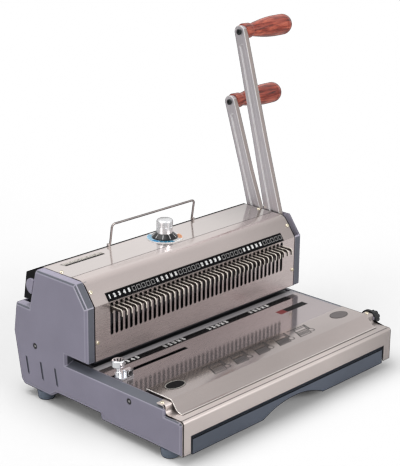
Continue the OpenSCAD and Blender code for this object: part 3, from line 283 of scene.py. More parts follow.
def shaded(mat, axis, run, light_factors):
    """Paints light and shade into a material: its tone made lighter or darker along X or Y of the machine,
    between two places in millimetres.
    """
    tree = mat.node_tree
    shader = tree.nodes["Principled BSDF"]
    coords = tree.nodes.new("ShaderNodeTexCoord")
    parts = tree.nodes.new("ShaderNodeSeparateXYZ")
    along = tree.nodes.new("ShaderNodeMapRange")
    along.inputs["From Min"].default_value = getattr(at(run[0], run[0], 0), axis)
    along.inputs["From Max"].default_value = getattr(at(run[1], run[1], 0), axis)
    tree.links.new(coords.outputs["Object"], parts.inputs["Vector"])
    tree.links.new(parts.outputs[axis.upper()], along.inputs["Value"])
    steps = len(light_factors) - 1
    tone = ramp(tree, along.outputs["Result"], [(i / steps, grey(t)) for i, t in enumerate(light_factors)])
    plain = shader.inputs["Base Color"].links[0].from_socket
    tree.links.new(multiply(tree, plain, tone), shader.inputs["Base Color"])
    return mat


def across(mat, *light_factors):
    """Paints light and shade into a sheet's tone, from the machine's left to its right."""
    return shaded(mat, "x", (-195, 195), light_factors)


PANEL = moulded("panel_grey", rgb(142, 138, 156), 0.5)
# Lit and shaded copies of the panel grey: painted shade, painted shade for edgewise faces, a painted lit
# top, and painted highlights along edges and rims
PANEL_SHADE = moulded("panel_shade", rgb(94, 97, 107), 0.5)
PANEL_FACING_SHADE = moulded("panel_facing_shade", rgb(140, 138, 147), 0.5)
PANEL_LIT_TOP = moulded("panel_lit_top", rgb(168, 163, 182), 0.5)
PANEL_EDGE_HIGHLIGHT = moulded("panel_edge", rgb(186, 182, 197), 0.42)
PANEL_RIM_HIGHLIGHT = moulded("panel_rim_highlight", rgb(162, 158, 175), 0.45)
# Upper cover steel with a painted highlight along the fold and painted shade towards its right end; its
# front face painted lighter towards the right
COVER = shaded(brushed("cover_steel", rgb(190, 179, 176), 0.2), "y", (184, 194), (1, 1.32))
COVER = across(COVER, 1, 1, 0.95, 0.68)
COVER_FACE = across(brushed("cover_face", rgb(192, 180, 178), 0.28), 0.95, 1.05, 1.4)
# Top plate painted darker towards its right end, by the levers, as shade
TOP = across(brushed("top_steel", rgb(218, 209, 206), 0.09), 0.96, 1, 1, 0.88, 0.56)
# Table painted darker towards its left, as shade
TABLE = across(brushed("table_steel", rgb(172, 162, 163), 0.1, 0.72), 0.78, 0.8, 0.98, 1)
# Pale steel for the table behind the number strip: painted light in the shaded throat
THROAT_PAINTED_LIGHT = brushed("throat_painted_light", rgb(206, 202, 206), 0.34, 0.1)
FRONT = brushed("front_steel", rgb(216, 205, 201), 0.34)
# Front panel steel painted darker towards its right end, as shade
FRONT = shaded(FRONT, "x", (-206, 206), (1, 1, 0.94, 0.62))
# Front cover steel painted darker at its left and middle and lighter at its right, as light and shade
NOSE = across(brushed("nose_steel", rgb(178, 168, 165), 0.13), 0.92, 0.88, 1.03)
# Pale steel for painted highlights along the edges of the front cover and front panel
STEEL_EDGE_HIGHLIGHT = brushed("steel_edge_highlight", rgb(236, 230, 226), 0.2)
BLACK_PAINT = moulded("black_paint", rgb(12, 12, 14), 0.5, 1200, 0.00008, 0.1)
END_CAP = moulded("end_cap_grey", rgb(150, 145, 164), 0.45)
LEVER = brushed("lever_alloy", rgb(200, 194, 198), 0.3, 0.9, (1, 0.35, 0.012), 0.04)
# The lever alloy painted darker for the wide front faces, as shade, and near-white for painted highlights
# along the edges
LEVER_FRONT_SHADE = brushed("lever_front_shade", rgb(158, 148, 144), 0.3, 0.9, (1, 0.35, 0.012), 0.04)
LEVER_EDGE_HIGHLIGHT = moulded("lever_edge_highlight", rgb(252, 250, 250), 0.3, 1500, 0.00004, 0.6)
WOOD = wood("grip_wood")
RUBBER = moulded("foot_rubber", rgb(112, 122, 136), 0.7, 500, 0.0002, 0.25)
DRAWER = moulded("drawer_plastic", rgb(82, 89, 102), 0.42, 1100, 0.00008, 0.35)
# Drawer plastic painted lighter in the middle and darker towards both ends, as light and shade
DRAWER = shaded(DRAWER, "x", (-200, 200), (0.9, 1.1, 0.9))
CHROME = polished("bright_chrome", rgb(232, 233, 236), 0.08)
SATIN = polished("satin_silver", rgb(224, 224, 226), 0.22)
HOOK = polished("hook_steel", rgb(250, 240, 228), 0.25, 0.4)
# The hooks' steel painted dark for their sides, as shade
HOOK_SIDE_SHADE = brushed("hook_side_shade", rgb(74, 66, 62), 0.4, 0.5)
SCREW = polished("yellow_zinc", rgb(226, 218, 198), 0.2)
DARK_SCREW = moulded("black_oxide", rgb(26, 26, 29), 0.35, 1500, 0.00005, 0.4)
FRAME_STEEL = brushed("frame_steel", rgb(140, 138, 140), 0.4)
TOOL = brushed("tool_steel", rgb(58, 58, 62), 0.42, 0.7)
DARK_STEEL = brushed("dark_steel", rgb(66, 70, 78), 0.38, 0.6)
BRASS = polished("bush_brass", rgb(190, 152, 96), 0.3)
WIRE = polished("bail_wire", rgb(158, 150, 147), 0.24)
KNOB = moulded("knob_black", rgb(20, 20, 23), 0.32, 1300, 0.00006, 0.35)
STRIP = printed("strip_black", rgb(7, 7, 9), 0.6, 0.05)
INK_WHITE = printed("ink_white", rgb(252, 252, 252))
INK_GREY = printed("ink_grey", rgb(184, 182, 182))
INK_BLACK = printed("ink_black", rgb(10, 10, 12), 0.5, 0.08)
INK_DARK = printed("ink_dark_grey", rgb(58, 55, 56))
DRAWING = printed("drawing_grey", rgb(104, 98, 98))
INK_RED = printed("ink_dark_red", rgb(120, 38, 42))
SCALE = printed("scale_cream", rgb(226, 220, 212))
DIAL_PALE = printed("dial_pale_blue", rgb(160, 208, 236))
DIAL_BLUE = printed("dial_blue", rgb(60, 150, 200))
DIAL_TEAL = printed("dial_teal", rgb(0, 116, 150))
DIAL_WHITE = printed("dial_white", rgb(240, 240, 240))
DIAL_PEACH = printed("dial_peach", rgb(244, 176, 132))
# Near-black for dark gaps and joints, and for painted shade in slots, along the drawer's edges and in the
# scale window
GAP_SHADE = printed("shadow_gap", rgb(7, 7, 9), 0.9, 0.03)


# Making pieces

def to_object(name, bm, mat, body, sharp=32):
    """A new piece from a bmesh, riding on a body, with smooth faces between sharp edges."""
    bm.normal_update()
    bm.verts.index_update()
    mesh = bpy.data.meshes.new(name)
    mesh.from_pydata([v.co[:] for v in bm.verts], [], [[v.index for v in f.verts] for f in bm.faces])
    mesh.polygons.foreach_set("material_index", [f.material_index for f in bm.faces])
    bm.free()
    for polygon in mesh.polygons:
        polygon.use_smooth = True
    mesh.set_sharp_from_angle(angle=math.radians(sharp))
    mesh.materials.append(mat)
    obj = bpy.data.objects.new(name, mesh)
    scene.collection.objects.link(obj)
    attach(obj, body)
    return obj


def clean_mesh(node):
    """The solid's mesh with split points joined and flat faces merged."""
    bm = bmesh.new()
    bm.from_mesh(nodes[node].data)
    bmesh.ops.remove_doubles(bm, verts=bm.verts, dist=3e-5)
    bmesh.ops.dissolve_limit(bm, angle_limit=math.radians(0.4), verts=bm.verts, edges=bm.edges)
    return bm


def soften(obj, width, angle, line, clamp):
    """Rounds the edges; a line is the material that shows along them, for a painted highlight or painted
    shade.
    """
    edge = obj.modifiers.new("edges", "BEVEL")
    edge.width = width * MM
    edge.segments = 2
    edge.limit_method = "ANGLE"
    edge.angle_limit = math.radians(angle)
    edge.harden_normals = True
    edge.use_clamp_overlap = clamp
    if line:
        obj.data.materials.append(line)
        edge.material = len(obj.data.materials) - 1


def dress(node, mat, width, change=None, angle=32, line=None, clamp=True):
    """Replaces a solid by a copy with its edges rounded to a width in millimetres."""
    bm = clean_mesh(node)
    if change:
        change(bm)
    obj = to_object(node + "_finish", bm, mat, nodes[node]["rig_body"], angle)
    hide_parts(node)
    if width:
        soften(obj, width, angle, line, clamp)
    return obj


def add_materials(obj, *mats):
    """Further materials for a piece, after its first."""
    for mat in mats:
        obj.data.materials.append(mat)


def cut(bm, place, normal):
    """Divides the faces along a plane."""
    everything = bm.verts[:] + bm.edges[:] + bm.faces[:]
    bmesh.ops.bisect_plane(bm, geom=everything, dist=1e-6, plane_co=place, plane_no=normal)


def skin(bm, rings):
    """Joins rings of points, one after another, with faces."""
    for a, b in zip(rings, rings[1:]):
        for i in range(len(a)):
            bm.faces.new((a[i - 1], a[i], b[i], b[i - 1]))


# Solids that need only a material and rounded edges, of a width in millimetres or none
for node, mat, width in (
    ("top_plate", TOP, 0.3), ("rear_cover", BLACK_PAINT, 0.4), ("rear_panel", PANEL, 0.4),
    ("closer_anvil", DARK_STEEL, 0.5), ("gauge_plate", SCALE, 0.1), ("bail_sockets", TOP, 0.3),
    ("cover_screws", SCREW, 0.15), ("panel_screws", DARK_SCREW, 0.2), ("punch_grip_bolt", DARK_SCREW, 0.3),
    ("closer_grip_bolt", DARK_SCREW, 0.3), ("closing_bar", DARK_STEEL, 0.3), ("knob_skirt", KNOB, 0.3),
    ("knob_cap", SATIN, 0.3), ("side_guide", CHROME, 0.5), ("guide_knob", CHROME, 0.4),
    ("margin_knob", KNOB, 0.7), ("upper_number_strip", STRIP, 0.12), ("lower_number_strip", STRIP, 0.12),
    ("dial_plate", DIAL_WHITE, 0.2), ("punch_grip", WOOD, 0), ("closer_grip", WOOD, 0),
    ("wire_bail", WIRE, 0), ("feet", RUBBER, 0.8),
):
    dress(node, mat, width)


# Side panels: rounded edges with painted highlights, painted shade in the grooves, throat and slanted
# faces, and a painted lit top
# Face tones: plain grey, painted edge highlight, painted shade, painted lit top, painted shade on faces
# edgewise to the side, painted rim highlight
PLAIN, EDGE_HIGHLIGHT, PAINTED_SHADE, PAINTED_LIT, FACING_SHADE, RIM_HIGHLIGHT = range(6)
PANEL_EDGE_R, PANEL_TURN = 0.8, 12
SCREW_CLEAR, SMALL_FACE = 8, 3
# Groove floors, at depths between those of GROOVE_FLOOR, take painted shade
GROOVE_WALL, GROOVE_FLOOR = 2, (0.5, 3)
# In the throat, faces edgewise to the side take painted shade
THROAT_Y = (160, 260)
# Edges within these places take the brighter painted highlight, the others the painted rim highlight
HIGHLIGHT_Y, HIGHLIGHT_Z = (160, 196), (148, 178)
# Level faces above HEAD_Z take the painted lit tone; in the right panel's lever slot, faces above
# LEVER_SLOT_Z or facing inward take the pale painted highlight tone
HEAD_Z, LEVER_SLOT_Z = 90, 140

# How far a face's normal leans to an axis: square to it, level, slanted or edgewise
SQUARE, LEVEL, SLANTED, EDGEWISE = 0.95, 0.985, 0.25, 0.3


def within(value, limits):
    """Whether a value lies between two limits."""
    return limits[0] < value < limits[1]


def edge_lines(bm):
    """Rounds the panel's edges, but not those of grooves and screw holes, and marks them for their painted
    highlight.
    """
    outer = max(abs(measured(v.co).x) for v in bm.verts)
    edges = []
    for e in bm.edges:
        middle = measured((e.verts[0].co + e.verts[1].co) / 2)
        turn = math.degrees(e.calc_face_angle(0))
        at_screw = any(math.hypot(middle.y - y, middle.z - z) < SCREW_CLEAR for y, z in PANEL_SCREWS)
        in_groove = turn > 80 and outer - abs(middle.x) < GROOVE_WALL
        if turn > PANEL_TURN and e.calc_length() > 0.5 * MM and not at_screw and not in_groove:
            edges.append(e)
    bmesh.ops.bevel(bm, geom=edges, offset=PANEL_EDGE_R * MM, offset_type="OFFSET", segments=2,
                    profile=0.5, affect="EDGES", clamp_overlap=False, material=EDGE_HIGHLIGHT)


def panel_tone(polygon, outer, lever_slot):
    """The material of one face of a panel, by its place and by the way it faces: painted highlights, a
    painted lit tone or painted shade.
    """
    normal, centre = polygon.normal, measured(polygon.center)
    depth = outer - abs(centre.x)
    in_slot = lever_slot and GROOVE_WALL < depth < PANEL_T
    if in_slot and (normal.x < -SQUARE or centre.z > LEVER_SLOT_Z):
        return EDGE_HIGHLIGHT
    if polygon.material_index == EDGE_HIGHLIGHT or polygon.area < SMALL_FACE * MM * MM:
        return EDGE_HIGHLIGHT if within(centre.y, HIGHLIGHT_Y) and within(centre.z, HIGHLIGHT_Z) else RIM_HIGHLIGHT
    if abs(normal.x) > SQUARE:
        return PAINTED_SHADE if within(depth, GROOVE_FLOOR) else PLAIN
    if normal.z > LEVEL and centre.z > HEAD_Z:
        return PAINTED_LIT
    if normal.z > SLANTED:
        return PAINTED_SHADE
    if abs(normal.x) < EDGEWISE:
        return PAINTED_SHADE if within(centre.y, THROAT_Y) or depth < GROOVE_WALL else FACING_SHADE
    return PLAIN


for node in ("left_side_panel", "right_side_panel"):
    panel = dress(node, PANEL, 0, edge_lines, PANEL_TURN)
    add_materials(panel, PANEL_EDGE_HIGHLIGHT, PANEL_SHADE, PANEL_LIT_TOP, PANEL_FACING_SHADE, PANEL_RIM_HIGHLIGHT)
    outer = max(abs(measured(v.co).x) for v in panel.data.vertices)
    for polygon in panel.data.polygons:
        polygon.material_index = panel_tone(polygon, outer, node == "right_side_panel")

# Front cover, with a painted highlight along its edges
dress("front_cover", NOSE, 0.5, angle=50, line=STEEL_EDGE_HIGHLIGHT)


# Table: painted shade on the walls of the side guide's slot, and steel painted paler behind the number
# strip, as light in the shaded throat

def split_table(bm):
    """Divides the table along the back of the lower number strip."""
    cut(bm, at(0, STRIP_HIGH.y, 0), (0, 1, 0))


NEAR_SLOT = 1
table = dress("table_plate", TABLE, 0.25, split_table)
add_materials(table, GAP_SHADE, THROAT_PAINTED_LIGHT)
for polygon in table.data.polygons:
    centre = measured(polygon.center)
    in_slot = all(low - NEAR_SLOT < place < high + NEAR_SLOT
                  for place, (low, high) in zip(centre, (SLOT_X, SLOT_Y)))
    if in_slot and abs(polygon.normal.z) < 0.5:
        polygon.material_index = 1
    elif centre.y > STRIP_HIGH.y and polygon.normal.z > 0.5:
        polygon.material_index = 2

# Front panel and end cap with a painted highlight along their edges, the drawer with painted shade along
# its edges
dress("front_panel", FRONT, 0.5, line=STEEL_EDGE_HIGHLIGHT)
dress("chip_drawer", DRAWER, 0.8, line=GAP_SHADE)
dress("closer_end_cap", END_CAP, 0.4, line=PANEL_EDGE_HIGHLIGHT)


# Upper cover: a rounded fold, dark seams at its ends, painted shade on the walls of its slots, and its
# front face in its own material with painted light

def round_fold(bm):
    """Bends the cover's fold over a radius, as sheet steel bends, and divides off its end seams."""
    for inset in (0, SHEET_T):
        z, radius = (TOP_Z - inset) * MM, (FOLD_R - inset) * MM
        folds = []
        for e in bm.edges:
            a, b = (v.co for v in e.verts)
            along_x = abs(a.x - b.x) > 0.1 and abs(a.y - b.y) < 1e-5
            level = abs(a.z - z) < 2e-5 and abs(b.z - z) < 2e-5
            if along_x and level and len(e.link_faces) == 2 and 0.5 < e.calc_face_angle(0) < 1.2:
                folds.append(e)
        if folds:
            reach = radius * math.tan(folds[0].calc_face_angle(0) / 2)
            bmesh.ops.bevel(bm, geom=folds, offset=reach, segments=8, profile=0.5,
                            affect="EDGES", offset_type="OFFSET")
    for x in (-SEAM_X, SEAM_X):
        cut(bm, at(x, 0, 0), (1, 0, 0))


SLOTS_HALF = 190
cover = dress("upper_cover", COVER, 0.12, round_fold)
add_materials(cover, GAP_SHADE, COVER_FACE)
for polygon in cover.data.polygons:
    centre, normal = measured(polygon.center), polygon.normal
    in_face = abs(centre.x) < SLOTS_HALF and centre.y < HOUSING_Y + SHEET_T
    if abs(centre.x) > SEAM_X or (in_face and abs(normal.y) < 0.6):
        polygon.material_index = 1
    elif normal.y < -SQUARE:
        polygon.material_index = 2

# Levers: painted highlights along their edges and on the narrow lips at the front, painted shade on the
# wide front faces
LIP_W = 4
for node in ("punch_lever", "closer_lever"):
    lever = dress(node, LEVER, 0.6, line=LEVER_EDGE_HIGHLIGHT, clamp=False)
    add_materials(lever, LEVER_FRONT_SHADE)
    for polygon in lever.data.polygons:
        if polygon.normal.y < -0.85:
            xs = [lever.data.vertices[i].co.x for i in polygon.vertices]
            polygon.material_index = 2 if max(xs) - min(xs) > LIP_W * MM else 1

# Selector pulls: bright hooks with their sides painted dark, as shade
BANKS = 8
for bank in range(1, BANKS + 1):
    pulls = dress(f"selector_bank_{bank}", HOOK, 0.3)
    add_materials(pulls, HOOK_SIDE_SHADE)
    for polygon in pulls.data.polygons:
        if abs(polygon.normal.x) > 0.8:
            polygon.material_index = 1

# Solids inside the machine, which show as they are
for node, mat in (
    ("base_pan", FRAME_STEEL), ("left_frame_plate", FRAME_STEEL), ("right_frame_plate", FRAME_STEEL),
    ("die_plate", TOOL), ("pin_guide_block", TOOL), ("guide_posts", SATIN), ("shaft_bushes", BRASS),
    ("drawer_runners", FRAME_STEEL), ("punch_shaft", SATIN), ("punch_pinions", TOOL), ("punch_ram", TOOL),
    ("ram_racks", TOOL), ("punch_pins", TOOL), ("closer_shaft", SATIN), ("closer_pinions", TOOL),
    ("knob_spindle", SATIN), ("back_gauge", FRAME_STEEL),
):
    nodes[node].data.materials.clear()
    nodes[node].data.materials.append(mat)

# Return springs: round wire in five turns, drawn at the length of the solid they replace
WIRE_R, TURNS, STEPS, SIDES = 0.7 * MM, 5, 28, 10
coil_low, coil_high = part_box("ram_springs")
coil_y = (coil_low.y + coil_high.y) / 2
coil_r = (coil_high.y - coil_low.y) / 2 - WIRE_R
coil_rise = coil_high.z - coil_low.z - 2 * WIRE_R
bm = bmesh.new()
for coil_x in (coil_low.x + coil_r + WIRE_R, coil_high.x - coil_r - WIRE_R):
    rings = []
    for i in range(TURNS * STEPS + 1):
        a = 2 * math.pi * i / STEPS
        out = Vector((math.cos(a), math.sin(a), 0))
        z = coil_low.z + WIRE_R + coil_rise * i / (TURNS * STEPS)
        centre = Vector((coil_x, coil_y, z)) + out * coil_r
        rings.append([bm.verts.new(centre + WIRE_R * (out * math.cos(b) + Vector((0, 0, math.sin(b)))))
                      for b in (2 * math.pi * k / SIDES for k in range(SIDES))])
    skin(bm, rings)
    bm.faces.new(rings[0])
    bm.faces.new(rings[-1][::-1])
bmesh.ops.recalc_face_normals(bm, faces=bm.faces)
coils = to_object("ram_springs_finish", bm, SATIN, "chassis", 60)
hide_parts("ram_springs")
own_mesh(coils)


# Helpers for small printed and fitted details, in millimetres on a surface
PRINT_T = 0.08


def surface(origin, up):
    """A frame on a surface: X to the right, Y along up, Z out of it."""
    right = Vector((1, 0, 0))
    up = Vector(up).normalized()
    return Matrix.Translation(origin) @ Matrix((right, up, right.cross(up))).transposed().to_4x4()


def level_surface(z):
    """A frame on a level surface, with X and Y those of the machine."""
    return surface(at(0, 0, z), (0, 1, 0))


def plate(bm, points, thickness, matrix):
    """A thin flat plate with a given outline."""
    ring = [bm.verts.new(matrix @ Vector((x * MM, y * MM, 0))) for x, y in points]
    top = [bm.verts.new(matrix @ Vector((x * MM, y * MM, thickness * MM))) for x, y in points]
    bm.faces.new(top)
    bm.faces.new(ring[::-1])
    skin(bm, (ring, top))


def strip(bm, x0, y0, x1, y1, thickness, matrix):
    """A thin plate with a box outline."""
    plate(bm, [(x0, y0), (x1, y0), (x1, y1), (x0, y1)], thickness, matrix)


def strips(name, mat, body, thickness, matrix, *boxes):
    """A piece made of thin plates with box outlines, each given as x0, y0, x1, y1."""
    bm = bmesh.new()
    for box in boxes:
        strip(bm, *box, thickness, matrix)
    to_object(name, bm, mat, body)


def oval(cx, cy, rx, ry, n=40):
    """The outline of an oval."""
    angles = [2 * math.pi * i / n for i in range(n)]
    return [(cx + rx * math.cos(a), cy + ry * math.sin(a)) for a in angles]


def sector(bm, a0, a1, r0, r1, thickness, matrix, n=6):
    """A thin piece of a ring, between two angles in degrees."""
    angles = [math.radians(a0 + (a1 - a0) * i / n) for i in range(n + 1)]
    outer = [(r1 * math.cos(a), r1 * math.sin(a)) for a in angles]
    inner = [(r0 * math.cos(a), r0 * math.sin(a)) for a in reversed(angles)]
    plate(bm, outer + inner, thickness, matrix)


def closed_line(bm, outline, width, matrix):
    """A printed line of a given width along a closed outline."""
    n = len(outline)
    for i in range(n):
        a, b = Vector(outline[i]), Vector(outline[(i + 1) % n])
        d = (b - a).normalized() * width / 2
        s = Vector((-d.y, d.x))
        plate(bm, [tuple(a - d - s), tuple(b + d - s), tuple(b + d + s), tuple(a - d + s)], PRINT_T, matrix)


def figure(bm, text, size, matrix, bold):
    """Adds a number as thin raised print."""
    curve = bpy.data.curves.new("figure", "FONT")
    curve.body = text
    curve.size = size * MM
    curve.align_x = "CENTER"
    curve.align_y = "CENTER"
    curve.extrude = PRINT_T / 2 * MM
    curve.offset = bold * MM
    curve.resolution_u = 3
    holder = bpy.data.objects.new("figure", curve)
    scene.collection.objects.link(holder)
    bpy.context.view_layer.update()
    mesh = bpy.data.meshes.new_from_object(holder.evaluated_get(bpy.context.evaluated_depsgraph_get()))
    mesh.transform(matrix)
    bm.from_mesh(mesh)
    bpy.data.objects.remove(holder)
    bpy.data.meshes.remove(mesh)
    bpy.data.curves.remove(curve)


# Hole numbers on the two strips

def number_row(name, base, size, bold, frame_ink):
    """A mark for each hole, in groups by turns of bold white numbers and of printed frames."""
    group, narrow = 5, 0.58
    half_w, half_h, line = 2.9, 3.1, 0.5
    figures, frames = bmesh.new(), bmesh.new()
    for i in range(HOLES):
        number = i + 1
        x = (i - (HOLES - 1) / 2) * PITCH
        place = base @ Matrix.Translation((x * MM, 0, PRINT_T / 2 * MM))
        if (i // group) % 2 == 0:
            width = Matrix.Diagonal((narrow if number > 9 else 1, 1, 1, 1))
            figure(figures, str(number), size, place @ width, bold)
            continue
        for y0, y1 in ((-half_h, line - half_h), (half_h - line, half_h)):
            strip(frames, -half_w, y0, half_w, y1, PRINT_T, place)
        for x0, x1 in ((-half_w, line - half_w), (half_w - line, half_w)):
            strip(frames, x0, line - half_h, x1, half_h - line, PRINT_T, place)
    to_object(name + "_white", figures, INK_WHITE, "chassis")
    to_object(name + "_grey", frames, frame_ink, "chassis")


upper_middle = at(0, HOUSING_Y, SLOPE_Z) + (SLOPE_RUN * UPPER_STRIP_MIDDLE + SLOPE_OUT * STRIP_T) * MM
number_row("upper_numbers", surface(upper_middle, SLOPE_RUN), 6.6, 0.5, INK_GREY)
lower_middle = at(0, (STRIP_LOW.y + STRIP_HIGH.y) / 2, STRIP_HIGH.z)
number_row("lower_numbers", surface(lower_middle, (0, 1, 0)), 8.8, 0.6, INK_DARK)

# Dial round the wire size knob: coloured fields and marks, with their angles in degrees
FIELD_R, FIELD, FIELD_GAP = (18.4, 24.4), 14, 1
MARKS, MARK_HALF, MARK_INNER, MARK_OUTER = 24, 0.7, 19.5, (23.6, 22.5)
dial_low, dial_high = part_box("dial_plate")
dial = Matrix.Translation(((dial_low.x + dial_high.x) / 2, (dial_low.y + dial_high.y) / 2, dial_high.z))
for name, mat, a0, a1 in (
    ("dial_ring_pale", DIAL_PALE, 110, 175), ("dial_ring_blue", DIAL_BLUE, 176, 205),
    ("dial_ring_teal", DIAL_TEAL, 206, 262), ("dial_ring_peach", DIAL_PEACH, 305, 352),
    ("dial_ring_sky", DIAL_PALE, 20, 60),
):
    bm = bmesh.new()
    fields = round((a1 - a0) / FIELD)
    step = (a1 - a0) / fields
    for i in range(fields):
        sector(bm, a0 + i * step, a0 + (i + 1) * step - FIELD_GAP, *FIELD_R, 0.12, dial)
    to_object(name, bm, mat, "chassis")
bm = bmesh.new()
for i in range(MARKS):
    a = i * 360 / MARKS
    sector(bm, a - MARK_HALF, a + MARK_HALF, MARK_INNER, MARK_OUTER[i % 2], 0.2, dial, 1)
to_object("dial_marks", bm, INK_DARK, "chassis")

# Pale index ribs on the knob's skirt, up its cone
RIBS, SKIRT_TOP_R, SKIRT_RIM = 10, 12, 1.4
skirt_low, skirt_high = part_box("knob_skirt")
skirt_r = (skirt_high.x - skirt_low.x) / 2
skirt_axis = Vector(((skirt_low.x + skirt_high.x) / 2, (skirt_low.y + skirt_high.y) / 2, skirt_low.z))
cone_rise = skirt_high.z - skirt_low.z - SKIRT_RIM * MM
cone_run = Vector((SKIRT_TOP_R * MM - skirt_r, 0, cone_rise)).normalized()
across_rib = Vector((0, 1, 0))
rib_face = Matrix((across_rib, cone_run, across_rib.cross(cone_run))).transposed().to_4x4()
bm = bmesh.new()
for i in range(RIBS):
    turn = Matrix.Rotation(2 * math.pi * i / RIBS, 4, "Z")
    foot = Matrix.Translation((skirt_r, 0, SKIRT_RIM * MM))
    place = Matrix.Translation(skirt_axis) @ turn @ foot @ rib_face
    plate(bm, [(-0.32, 0.7), (0.32, 0.7), (0.22, 7.2), (-0.22, 7.2)], 0.25, place)
to_object("knob_ribs", bm, INK_WHITE, "size_knob")

# Scale in the top plate's window: a painted shadow as a dark slit along two edges, and ticks on a pale
# strip
WINDOW_INSET, SLIT_X, SLIT_Y = 3.2, 1.4, 3.8
TICKS, TICK_STEP, TICK_HALF = 24, 2.9, 0.6
window = level_surface(GAUGE_HIGH.z)
x0, x1 = GAUGE_LOW.x + WINDOW_INSET, GAUGE_HIGH.x - WINDOW_INSET
y0, y1 = GAUGE_LOW.y + WINDOW_INSET, GAUGE_HIGH.y - WINDOW_INSET
scale_x, scale_y = x0 + SLIT_X, y0 + SLIT_Y
ticks = []
for i in range(TICKS):
    x = scale_x + 1 + i * TICK_STEP
    short = 0.2 if i % 5 == 0 else 1.8
    ticks.append((x - TICK_HALF, scale_y + 0.1, x + TICK_HALF, y1 - short))
slit = ((x0, y0, x1, scale_y), (x0, scale_y, scale_x, y1))
strips("scale_slit_shadow", GAP_SHADE, "chassis", 1.3, window, *slit)
strips("scale_strip", SCALE, "chassis", 1.1, window, (scale_x, scale_y, x1, y1))
strips("scale_ticks", INK_DARK, "chassis", 1.22, window, *ticks)

# Dark joints round the upper cover
top_face = level_surface(TOP_Z)
slope_face = surface(at(0, HOUSING_Y, SLOPE_Z), SLOPE_RUN)
front_face = surface(at(0, HOUSING_Y, 0), (0, 0, 1))
bm = bmesh.new()
strip(bm, 0.2 - HALF, COVER_HIGH.y - 0.2, HALF - 0.2, TOP_PLATE_LOW.y + 0.2, THIN, top_face)
for side in (-1, 1):
    x0, x1 = sorted((side * (HALF - 0.6), side * (HALF + 0.2)))
    strip(bm, x0, FOLD_Y + 4, x1, TOP_PLATE_HIGH.y - 4, THIN, top_face)
    strip(bm, x0, 2, x1, 30, THIN, slope_face)
    strip(bm, x0, COVER_LOW.z + 1, x1, SLOPE_Z - 3, THIN, front_face)
to_object("cover_joints", bm, GAP_SHADE, "chassis")

# Dark joint between the front panel and the left panel, along the front panel's flats and three bends
ARC_STEPS, JOINT_W = 6, 2
profile = [(0, FRONT_LOW.z)]
for cy, cz, r, a0, a1 in ((4, 53, 4, 180, 90), (26, 62, 5, 270, 360), (34, 66, 3, 180, 90)):
    for i in range(ARC_STEPS + 1):
        a = math.radians(a0 + (a1 - a0) * i / ARC_STEPS)
        profile.append((cy + r * math.cos(a), cz + r * math.sin(a)))
bm = bmesh.new()
joint_x = -FRONT_HIGH.x - 0.1
for (y0, z0), (y1, z1) in zip(profile, profile[1:]):
    length = math.hypot(y1 - y0, z1 - z0)
    facet = surface(at(0, y0, z0), (0, y1 - y0, z1 - z0))
    strip(bm, joint_x, 0, joint_x + JOINT_W, length, 0.06, facet)
to_object("front_joints", bm, GAP_SHADE, "chassis")

# Two painted shadow lines along the ledge: under the front cover's edge and at the bend
nose_half, bend_half = NOSE_HIGH.x - 0.2, FRONT_HIGH.x - 2.1
nose_edge = (-nose_half, NOSE_LOW.y - 1.3, nose_half, NOSE_LOW.y - 0.1)
bend = (-bend_half, 3.6, bend_half, 4.9)
strips("ledge_shadow_lines", INK_DARK, "chassis", 0.06, level_surface(NOSE_LOW.z), nose_edge, bend)

# Shadow along the top of the drawer's front
drawer_front = surface(at(0, DRAWER_LOW.y, 0), (0, 0, 1))
drawer_half = DRAWER_HIGH.x - 0.8
shadow = (-drawer_half, DRAWER_HIGH.z - 2.6, drawer_half, DRAWER_HIGH.z - 0.8)
strips("drawer_shadow", GAP_SHADE, "drawer", 0.06, drawer_front, shadow)

# Painted shade at the end and along the rims of the side guide's slot, and painted shadow in the gaps
# beside the front cover
RIM_OUT, RIM_W = 0.9, 0.8
table_face = level_surface(TABLE_Z)
slot_shade = (0.2 - HALF, SLOT_Y[0] - RIM_OUT, SLOT_X[0], SLOT_Y[1] + RIM_OUT)
rims = [(SLOT_X[0], y, SLOT_X[1], y + RIM_W) for y in (SLOT_Y[0] - RIM_OUT, SLOT_Y[1] + RIM_OUT - RIM_W)]
gap_x = (NOSE_HIGH.x, HALF + 0.1)
gaps = [(x0, TABLE_LOW.y + 1.8, x1, NOSE_HIGH.y) for x0, x1 in ((-gap_x[1], -gap_x[0]), gap_x)]
strips("slot_shade", GAP_SHADE, "chassis", THIN, table_face, slot_shade, *rims, *gaps)

# Pale sockets in the panels' screws
bm = bmesh.new()
for x, out in ((SCREWS_LOW.x, -1), (SCREWS_HIGH.x, 1)):
    inward = Matrix((Vector((0, -out, 0)), Vector((0, 0, 1)), Vector((-out, 0, 0)))).transposed().to_4x4()
    for y, z in PANEL_SCREWS:
        plate(bm, oval(0, 0, 1.7, 1.7, 6), THIN, Matrix.Translation(at(x, y, z)) @ inward)
bmesh.ops.recalc_face_normals(bm, faces=bm.faces)
to_object("screw_sockets", bm, INK_GREY, "chassis")

